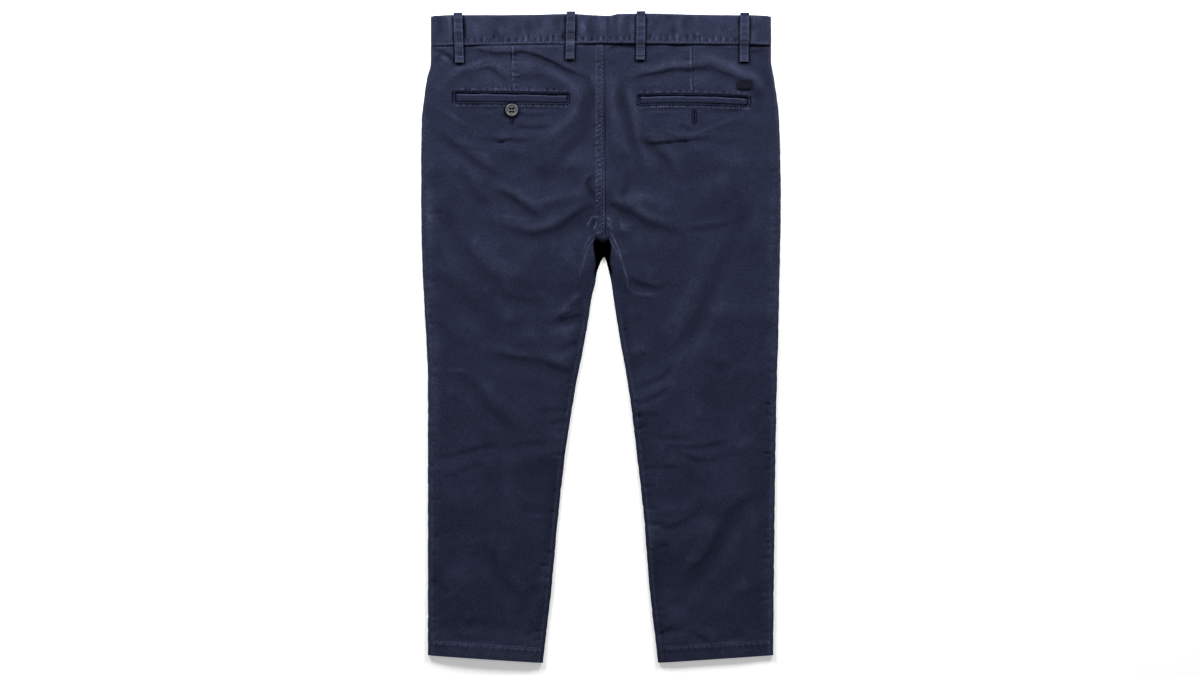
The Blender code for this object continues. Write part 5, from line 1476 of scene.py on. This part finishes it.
def stitch_slant(side, front):
    """Two seams beside the slanted mouth of a side pocket."""
    end_m = outer_m(side, SLANT_END_Y) - SLANT_END_INSET
    heights = np.array([246, 225, 205, 185, 165])
    slant = SLANT_TOP_M + (WAIST_Y - heights) / (WAIST_Y - SLANT_END_Y) * (end_m - SLANT_TOP_M)
    for inset in (1.6, 7.0):
        front.run(tuple(zip(SIDES[side] * (slant - inset), heights)), front_lift, pitch=2.7, thick=0.5)


def stitch_loops(loops):
    """Two seams along each loop, and bars across its foot and at the waist seam."""
    for name, (x_top, x_foot, y_foot) in BACK_LOOPS.items():
        seam = waist_seam_y(x_top)
        top = float(curve(BAND_TOP, "y", x_top))
        tops = loop_heights(name)
        for away in (-LOOP_STITCH, LOOP_STITCH):
            dx = away * LOOP_WIDTH / 2
            route = ((x_foot + dx, y_foot + 1.0), (x_foot + dx, seam), (x_top + dx, top - 1.0))
            loops.run(route, tops, pitch=2.4, thick=0.45)
        for y in (y_foot + 1.1, y_foot + LOOP_FOOT - 0.8, seam + 1.2):
            for x in np.arange(-3.0, 2.6, 0.62):
                z = float(tops(x_foot + x, y))
                loops.stitch((x_foot + x, y - 0.5, z), (x_foot + x + 0.25, y + 0.5, z), 0.4)
    for x, y_foot in FRONT_LOOPS.values():
        for away in (-LOOP_STITCH, LOOP_STITCH):
            dx = away * LOOP_WIDTH / 2
            loops.run(((x + dx, y_foot + 1), (x + dx, 255), (x + dx, 270)), on_floor, pitch=2.4, thick=0.45)


def build_stitching():
    """All the sewing that shows: on the seat, pockets, waistband, loops and hems, and under them."""
    seat, hems, band, front, loops = (Stitches("thread_" + name) for name in (
        "seat", "hems", "waistband", "front", "loops"))
    dimple_shade = Stitches("needle_hole_shade")
    # centre seam stitches with dark dashes of painted shade between them
    seat.run(((1.4, 247.5), (1.4, 200), (1.4, 140), (1.4, 87)), UPPER.at, pitch=3.4, fill=0.3, thick=0.4,
             dimple_shade=dimple_shade, wide=0.8)
    for side in SIDES:
        stitch_pocket(side, dimple_shade)
        stitch_hem(side, hems)
        stitch_band(side, band, dimple_shade)
        stitch_slant(side, front)
    front.run(moved(FLY_CURVE, FRONT_SEAM_X), front_lift, pitch=2.7, thick=0.5)
    stitch_loops(loops)
    return [thread.build() for thread in (seat, hems, band, front, loops)], dimple_shade.build()


def loop_heights(name):
    """Height of the outer face of a belt loop along its length."""
    points = np.array([v.co for v in bpy.data.objects["strap_" + name].data.vertices]) / MM
    x_top, x_foot, _ = BACK_LOOPS[name]
    points = points[np.abs(points[:, 0] - (x_top + x_foot) / 2) < LOOP_WIDTH * 0.3]
    bins = np.round(points[:, 1]).astype(int)
    keys = np.unique(bins)
    heights = np.array([points[bins == key, 2].max() for key in keys])

    def height(_, y):
        return np.interp(y, keys, heights)

    return height


def drill(button, place, depth):
    """Cuts a round hole through a button."""
    shape = bmesh.new()
    bmesh.ops.create_cone(shape, cap_ends=True, segments=20, radius1=BUTTON_HOLE_RADIUS * MM,
                          radius2=BUTTON_HOLE_RADIUS * MM, depth=depth * MM)
    bmesh.ops.translate(shape, verts=shape.verts, vec=Vector(place) * MM)
    mesh = bpy.data.meshes.new("hole")
    shape.to_mesh(mesh)
    shape.free()
    cutter = bpy.data.objects.new("hole", mesh)
    bpy.context.scene.collection.objects.link(cutter)
    cut = button.modifiers.new("hole", "BOOLEAN")
    cut.operation = "DIFFERENCE"
    cut.solver = "EXACT"
    cut.object = cutter
    bpy.context.view_layer.objects.active = button
    bpy.ops.object.modifier_apply(modifier="hole")
    bpy.data.objects.remove(cutter)


def build_button(name, x, y, z, sign):
    """A four-hole button with a raised rim, a dished middle and holes that go right through."""
    radius, sides = BUTTON_SHARE * BUTTON_RADIUS, 72
    points = []
    for across, up in BUTTON_PROFILE:
        for k in range(sides):
            angle = 2 * math.pi * k / sides
            points.append((x + across * radius * math.cos(angle), y + across * radius * math.sin(angle),
                           z + sign * (up * BUTTON_HEIGHT)))
    faces = ring_faces(0, len(BUTTON_PROFILE), sides)
    if sign < 0:
        faces = [tuple(reversed(face)) for face in faces]
    button = mesh_piece(name, points, faces, smooth_angle=60)
    shape = bmesh.new()
    shape.from_mesh(button.data)
    bmesh.ops.remove_doubles(shape, verts=shape.verts, dist=1e-6)
    bmesh.ops.recalc_face_normals(shape, faces=shape.faces)
    shape.to_mesh(button.data)
    shape.free()
    for across in (-BUTTON_HOLE_M, BUTTON_HOLE_M):
        for along in (-BUTTON_HOLE_M, BUTTON_HOLE_M):
            place = (x + across, y + along, z + sign * BUTTON_HEIGHT / 2)
            drill(button, place, 3 * BUTTON_HEIGHT)
    button.data.set_sharp_from_angle(angle=math.radians(40))
    away = np.array([math.hypot(v.co.x / MM - x, v.co.y / MM - y) for v in button.data.vertices]) / radius
    # Paler rim and middle: painted highlight
    pale = 0.75 * smooth((away - 0.74) / 0.08) + smooth((0.66 - away) / 0.1)
    rim = button.data.attributes.new("wear_and_highlight", "FLOAT", "POINT")
    rim.data.foreach_set("value", pale.astype(np.float32))
    return button


def build_button_thread(name, x, y, z, sign):
    """The thread that holds a button: two bars over its middle from hole to hole."""
    thread = Stitches(name)
    height = z + sign * (0.74 * BUTTON_HEIGHT) - sign * 0.35
    for along in (-BUTTON_HOLE_M, BUTTON_HOLE_M):
        for shift in (-0.26, 0.0, 0.26):
            start = (x - BUTTON_HOLE_M, y + along + shift, height)
            end = (x + BUTTON_HOLE_M, y + along + shift, height)
            thread.stitch(start, end, 0.42, arch=0.9 * sign)
    return thread.build()


def keyhole(x, y_top, y_low, half, eye):
    """A closed route round a buttonhole: straight sides, a round foot and a wider eye at the top."""
    straight = (y_low + half, (y_top + y_low) / 2, y_top - 2 * eye)
    route = [(x + half, y) for y in straight]
    for share in (-0.1, 0.2, 0.5, 0.8, 1.1):
        angle = math.pi * share
        route.append((x + eye * math.cos(angle), y_top + eye * math.sin(angle)))
    route += [(x - half, y) for y in reversed(straight)]
    return (*route, (x, y_low), route[0])


def build_buttonhole(name, x, y_top, y_low):
    """Close stitches round a short slit, with a wider eye at its top."""
    hole = Stitches(name)
    inner = rounded(keyhole(x, y_top, y_low, 0.35, 0.8), 0.2)
    outer = rounded(keyhole(x, y_top, y_low - 1.2, 1.7, 1.9), 0.2)
    for share in np.linspace(0, 1, 72, endpoint=False):
        near, far = (route[int(share * len(route))] for route in (inner, outer))
        hole.stitch((*near, float(UPPER.at(*near)) + 0.12), (*far, float(UPPER.at(*far))), 0.4)
    return hole.build()


def build_slit(name, x, y_top, y_low):
    """Dark thread as painted shade: in the opening inside a buttonhole, and as a shadow line where its
    stitches meet the cloth.
    """
    def height(a, b):
        return UPPER.at(a, b) + 0.1

    dark = Stitches(name)
    dark.run(((x, y_top - 0.5), (x, y_low + 0.6)), height, pitch=1.0, fill=1.1, thick=0.75)
    dark.stitch((x, y_top + 1.0, height(x, y_top)), (x, y_top - 1.0, height(x, y_top)), 2.0, arch=0.0)
    dark.run(keyhole(x, y_top, y_low - 1.2, 1.95, 2.15), UPPER.at, pitch=1.3, fill=0.85, thick=0.7)
    return dark.build()


def build_patch():
    """A small plain woven label with a turned-in border."""
    u = np.linspace(-1, 1, 25)[None, :]
    v = np.linspace(-1, 1, 17)[:, None]
    x = PATCH_CENTRE[0] + u * PATCH_SIZE[0] / 2 * (1 - 0.07 * np.abs(v) ** 6)
    y = PATCH_CENTRE[1] + v * PATCH_SIZE[1] / 2 * (1 - 0.1 * np.abs(u) ** 6)
    out = np.maximum(np.abs(u), np.abs(v))
    base = UPPER.at(x, y)
    under = np.maximum(0.5 * base + 0.5 * float(base.mean()) + SEAM_GAP, base + 0.1)
    top = under + 0.8 - 0.4 * out**12 + 0.1 * (1 - (u * v) ** 2) - 0.12 * bell(out - 0.86, 0.06)
    return shell("label_blank", net(x, y, top), net(x, y, under), wear_and_highlight=0.2)


def new_material(name):
    """A new material, and a function that adds a node to it and sets or links the node's inputs."""
    material = bpy.data.materials.new(name)
    material.use_nodes = True
    tree = material.node_tree
    tree.nodes.clear()

    def make(kind, inputs=None, **settings):
        made = tree.nodes.new("ShaderNode" + kind)
        for key, value in settings.items():
            setattr(made, key, value)
        for key, value in (inputs or {}).items():
            if isinstance(value, bpy.types.NodeSocket):
                tree.links.new(value, made.inputs[key])
            else:
                made.inputs[key].default_value = value
        return made

    return material, make


def mix(make, factor, a, b):
    return make("Mix", {0: factor, 6: a, 7: b}, data_type="RGBA").outputs[2]


def ranged(make, value, low, high, to_low, to_high):
    """A value brought from one range into another."""
    inputs = {"Value": value, "From Min": low, "From Max": high, "To Min": to_low, "To Max": to_high}
    return make("MapRange", inputs).outputs[0]


def product(make, first, *factors):
    for factor in factors:
        first = make("Math", {0: first, 1: factor}, operation="MULTIPLY").outputs[0]
    return first


def bump(make, height, strength, distance, **below):
    inputs = {"Height": height, "Strength": strength, "Distance": distance, **below}
    return make("Bump", inputs).outputs[0]


def noise(make, place, scale, detail, rough=0.5, distortion=0.0):
    inputs = {"Vector": place, "Scale": scale, "Detail": detail, "Roughness": rough, "Distortion": distortion}
    return make("TexNoise", inputs).outputs["Fac"]


def wave(make, place, scale, distortion, more=None):
    inputs = {"Vector": place, "Scale": scale, "Distortion": distortion, **(more or {})}
    return make("TexWave", inputs, wave_profile="SIN").outputs["Fac"]


def turned(make, place, degrees):
    return make("Mapping", {"Vector": place, "Rotation": (0.0, 0.0, math.radians(degrees))}).outputs[0]


def finish(make, inputs):
    shader = make("BsdfPrincipled", inputs)
    make("OutputMaterial", {"Surface": shader.outputs[0]})


def twill_material(name, colour, pale, dark, grain=1.0, gloss=0.08, nap=0.06):
    """Garment-dyed cotton twill: fine diagonal ribs, heathered yarns, paler ridges of wear and painted
    highlight, and painted shade.
    """
    material, make = new_material(name)
    place = make("TexCoord").outputs["Object"]
    wear_and_highlight, shade = (make("Attribute", attribute_name=key).outputs["Fac"] for key in ("wear_and_highlight", "shade"))
    heather = noise(make, place, 780.0, 3.0, 0.65)
    mottle = noise(make, place, 130.0, 4.0, 0.6)
    cloud = noise(make, place, 22.0, 2.0)
    ribs = wave(make, turned(make, place, -52), 640.0, 1.6, {"Detail Scale": 2.5})
    tone = product(
        make,
        ranged(make, heather, 0.32, 0.68, 1 - 0.34 * grain, 1 + 0.34 * grain),
        ranged(make, mottle, 0.3, 0.7, 0.94, 1.06),
        ranged(make, cloud, 0.3, 0.7, 0.96, 1.04),
        ranged(make, ribs, 0.0, 1.0, 0.93, 1.06),
    )
    # Paler with wear and painted highlight; darker with painted shade, down to the dark colour of painted
    # shadow
    wear_and_highlight_share = ranged(make, product(make, wear_and_highlight, mottle), 0.0, 0.6, 0.0, 1.0)
    deep = ranged(make, shade, 0.0, DARKEST, 0.0, 1.0)
    lifted = mix(make, wear_and_highlight_share, (*colour, 1), (*pale, 1))
    sunk = mix(make, deep, lifted, (*dark, 1))
    toned = make("VectorMath", {0: sunk, "Scale": tone}, operation="SCALE").outputs[0]
    weave = bump(make, ribs, 0.25, 0.0002)
    yarns = bump(make, heather, 0.35, 0.0003, Normal=weave)
    crumple = bump(make, mottle, 0.3, 0.0006, Normal=yarns)
    finish(make, {"Base Color": toned, "Roughness": 0.92, "Specular IOR Level": gloss, "Sheen Weight": nap,
                  "Sheen Roughness": 0.5, "Sheen Tint": (0.55, 0.6, 0.8, 1), "Normal": crumple})
    return material


def sink(piece, deep):
    """Gives the faces that lie deep in painted shade the cloth without gloss or nap, whose painted shade goes
    near black.
    """
    mesh = piece.data
    shade = np.zeros(len(mesh.vertices), np.float32)
    mesh.attributes["shade"].data.foreach_get("value", shade)
    corners = np.zeros(len(mesh.loops), np.int32)
    mesh.loops.foreach_get("vertex_index", corners)
    starts = np.zeros(len(mesh.polygons), np.int32)
    mesh.polygons.foreach_get("loop_start", starts)
    darkest = np.maximum.reduceat(shade[corners], starts)
    mesh.materials.append(deep)
    mesh.polygons.foreach_set("material_index", (darkest > DEEP_SHADE).astype(np.int32))


def thread_material(name, colour, gloss=0.2):
    """Twisted sewing thread, also used for dark threads laid as painted shade."""
    material, make = new_material(name)
    place = make("TexCoord").outputs["Object"]
    twist = wave(make, turned(make, place, 35), 1500.0, 0.6)
    fibre = noise(make, place, 900.0, 3.0)
    tone = product(make, ranged(make, twist, 0.0, 1.0, 0.8, 1.1), ranged(make, fibre, 0.3, 0.7, 0.75, 1.25))
    base = make("VectorMath", {0: colour, "Scale": tone}, operation="SCALE").outputs[0]
    finish(make, {"Base Color": base, "Roughness": 0.65, "Specular IOR Level": gloss,
                  "Normal": bump(make, twist, 0.5, 0.0001)})
    return material


def button_material():
    """Charcoal resin with a faint cloudy grain and soft scratches, with a paler rim and middle painted as
    highlight.
    """
    material, make = new_material("resin_charcoal")
    place = make("TexCoord").outputs["Object"]
    cloud = noise(make, place, 260.0, 5.0, distortion=1.2)
    fine = noise(make, place, 2400.0, 2.0)
    rim = make("Attribute", attribute_name="wear_and_highlight").outputs["Fac"]
    dish = mix(make, cloud, (0.02, 0.0195, 0.022, 1), (0.06, 0.058, 0.064, 1))
    edge = mix(make, cloud, (0.055, 0.055, 0.062, 1), (0.13, 0.129, 0.14, 1))
    rough = ranged(make, fine, 0.0, 1.0, 0.3, 0.5)
    scratches = bump(make, fine, 0.08, 0.0001)
    finish(make, {"Base Color": mix(make, rim, dish, edge), "Roughness": rough, "Specular IOR Level": 0.35,
                  "Coat Weight": 0.1, "Coat Roughness": 0.25, "Normal": scratches})
    return material


def floor_material():
    material, make = new_material("floor_white")
    finish(make, {"Base Color": (0.9, 0.9, 0.9, 1), "Roughness": 0.9, "Emission Color": (1, 1, 1, 1),
                  "Emission Strength": 0.35})
    return material


def add_to_scene(name, data, place):
    made = bpy.data.objects.new(name, data)
    made.location = place
    bpy.context.scene.collection.objects.link(made)
    return made


def build_stage():
    """A plain white floor, soft light from beyond the waist, and a camera straight above."""
    half = FLOOR_HALF_SIZE / MM
    corners = [(-half, -half), (half, -half), (half, half), (-half, half)]
    floor = mesh_piece("floor", [(x, y, FLOOR_Z) for x, y in corners], [(0, 1, 2, 3)])
    floor.data.materials.append(floor_material())
    world = bpy.data.worlds.new("studio")
    bpy.context.scene.world = world
    world.use_nodes = True
    background = world.node_tree.nodes["Background"]
    background.inputs["Color"].default_value = SKY
    background.inputs["Strength"].default_value = SKY_STRENGTH
    for name, place, aim, width, power in LIGHTS:
        data = bpy.data.lights.new(name, "AREA")
        data.size = width
        data.energy = power
        light = add_to_scene(name, data, place)
        light.rotation_euler = (Vector(aim) - Vector(place)).to_track_quat("-Z", "Y").to_euler()
    data = bpy.data.cameras.new("camera")
    data.sensor_width = 36.0
    data.lens = data.sensor_width * CAMERA_HEIGHT / PICTURE_WIDTH
    bpy.context.scene.camera = add_to_scene("camera", data, (CAMERA_X, 0.0, CAMERA_HEIGHT))
    bpy.context.scene.view_settings.view_transform = "Standard"


def dress(piece, material, replaces=()):
    """Gives a piece its material, hangs it on the root body and hides the parts that it stands for."""
    piece.data.materials.clear()
    piece.data.materials.append(material)
    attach(piece, "root")
    if replaces:
        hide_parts(*replaces)
    return piece


def main():
    build_stage()
    twill = twill_material("twill_navy", NAVY, NAVY_PALE, NAVY_PAINTED_SHADE)
    # Near-black cloth without gloss or nap, as painted shadow for faces deep in painted shade
    twill_shadow = twill_material("twill_navy_painted_shadow", NAVY, NAVY_PALE, PIT_PAINTED_SHADOW, gloss=0.0, nap=0.0)
    twill_band = twill_material("twill_navy_band", NAVY_BAND, NAVY_PALE, NAVY_PAINTED_SHADE)
    twill_loop = twill_material("twill_navy_loop", NAVY_LOOP, NAVY_PALE, NAVY_PAINTED_SHADE)
    thread = thread_material("thread_navy", THREAD)
    thread_buttonhole = thread_material("thread_buttonhole", THREAD_BUTTONHOLE, 0.05)
    # Dark thread of the buttons, also laid as painted shade in the buttonholes
    dark_thread_and_shade = thread_material("dark_thread_and_shade", DARK_THREAD_AND_SHADE, 0.02)
    # Dark dashes of painted shade at the needle holes
    hole = thread_material("needle_hole_shade", NEEDLE_HOLE_SHADE, 0.01)
    woven = twill_material("woven_label", LABEL, LABEL_PALE, NAVY_PAINTED_SHADE, 0.5)
    resin = button_material()

    for side in SIDES:
        back = dress(build_back(side), twill, ["back_" + side])
        welt = dress(build_welt(side), twill, ["pocket_welt_" + side])
        front, facing = build_front(side)
        dress(front, twill, ["front_" + side])
        dress(facing, twill, ["pocket_facing_" + side])
        band = dress(build_band(side), twill_band, ["waistband_" + side])
        for piece in (back, front):
            sink(piece, twill_shadow)
    for name in BACK_LOOPS:
        dress(build_back_loop(name), twill_loop, [name])
    for name in FRONT_LOOPS:
        dress(build_front_loop(name), twill_loop, [name])
    sewing, dimple_shade = build_stitching()
    for piece in sewing:
        dress(piece, thread)
    dress(dimple_shade, hole)
    x, y = POCKET_BUTTON_XY
    base = float(np.max(UPPER.at(x + np.linspace(-5, 5, 21), np.full(21, y)))) + SEAM_GAP
    for name, (x, y), z, sign in (
        ("pocket", POCKET_BUTTON_XY, base, 1.0),
        ("waist", WAIST_BUTTON_XY, BUTTON_HEIGHT, -1.0),
    ):
        dress(build_button("button_" + name, x, y, z, sign), resin, [name + "_button"])
        dress(build_button_thread(f"button_{name}_thread", x, y, z, sign), dark_thread_and_shade)
    for side, place in BUTTONHOLES.items():
        dress(build_buttonhole("buttonhole_" + side, *place), thread_buttonhole)
        # painted shade in and round each buttonhole
        dress(build_slit("buttonhole_slit_" + side, *place), dark_thread_and_shade)
    dress(build_patch(), woven, ["label_patch"])


main()
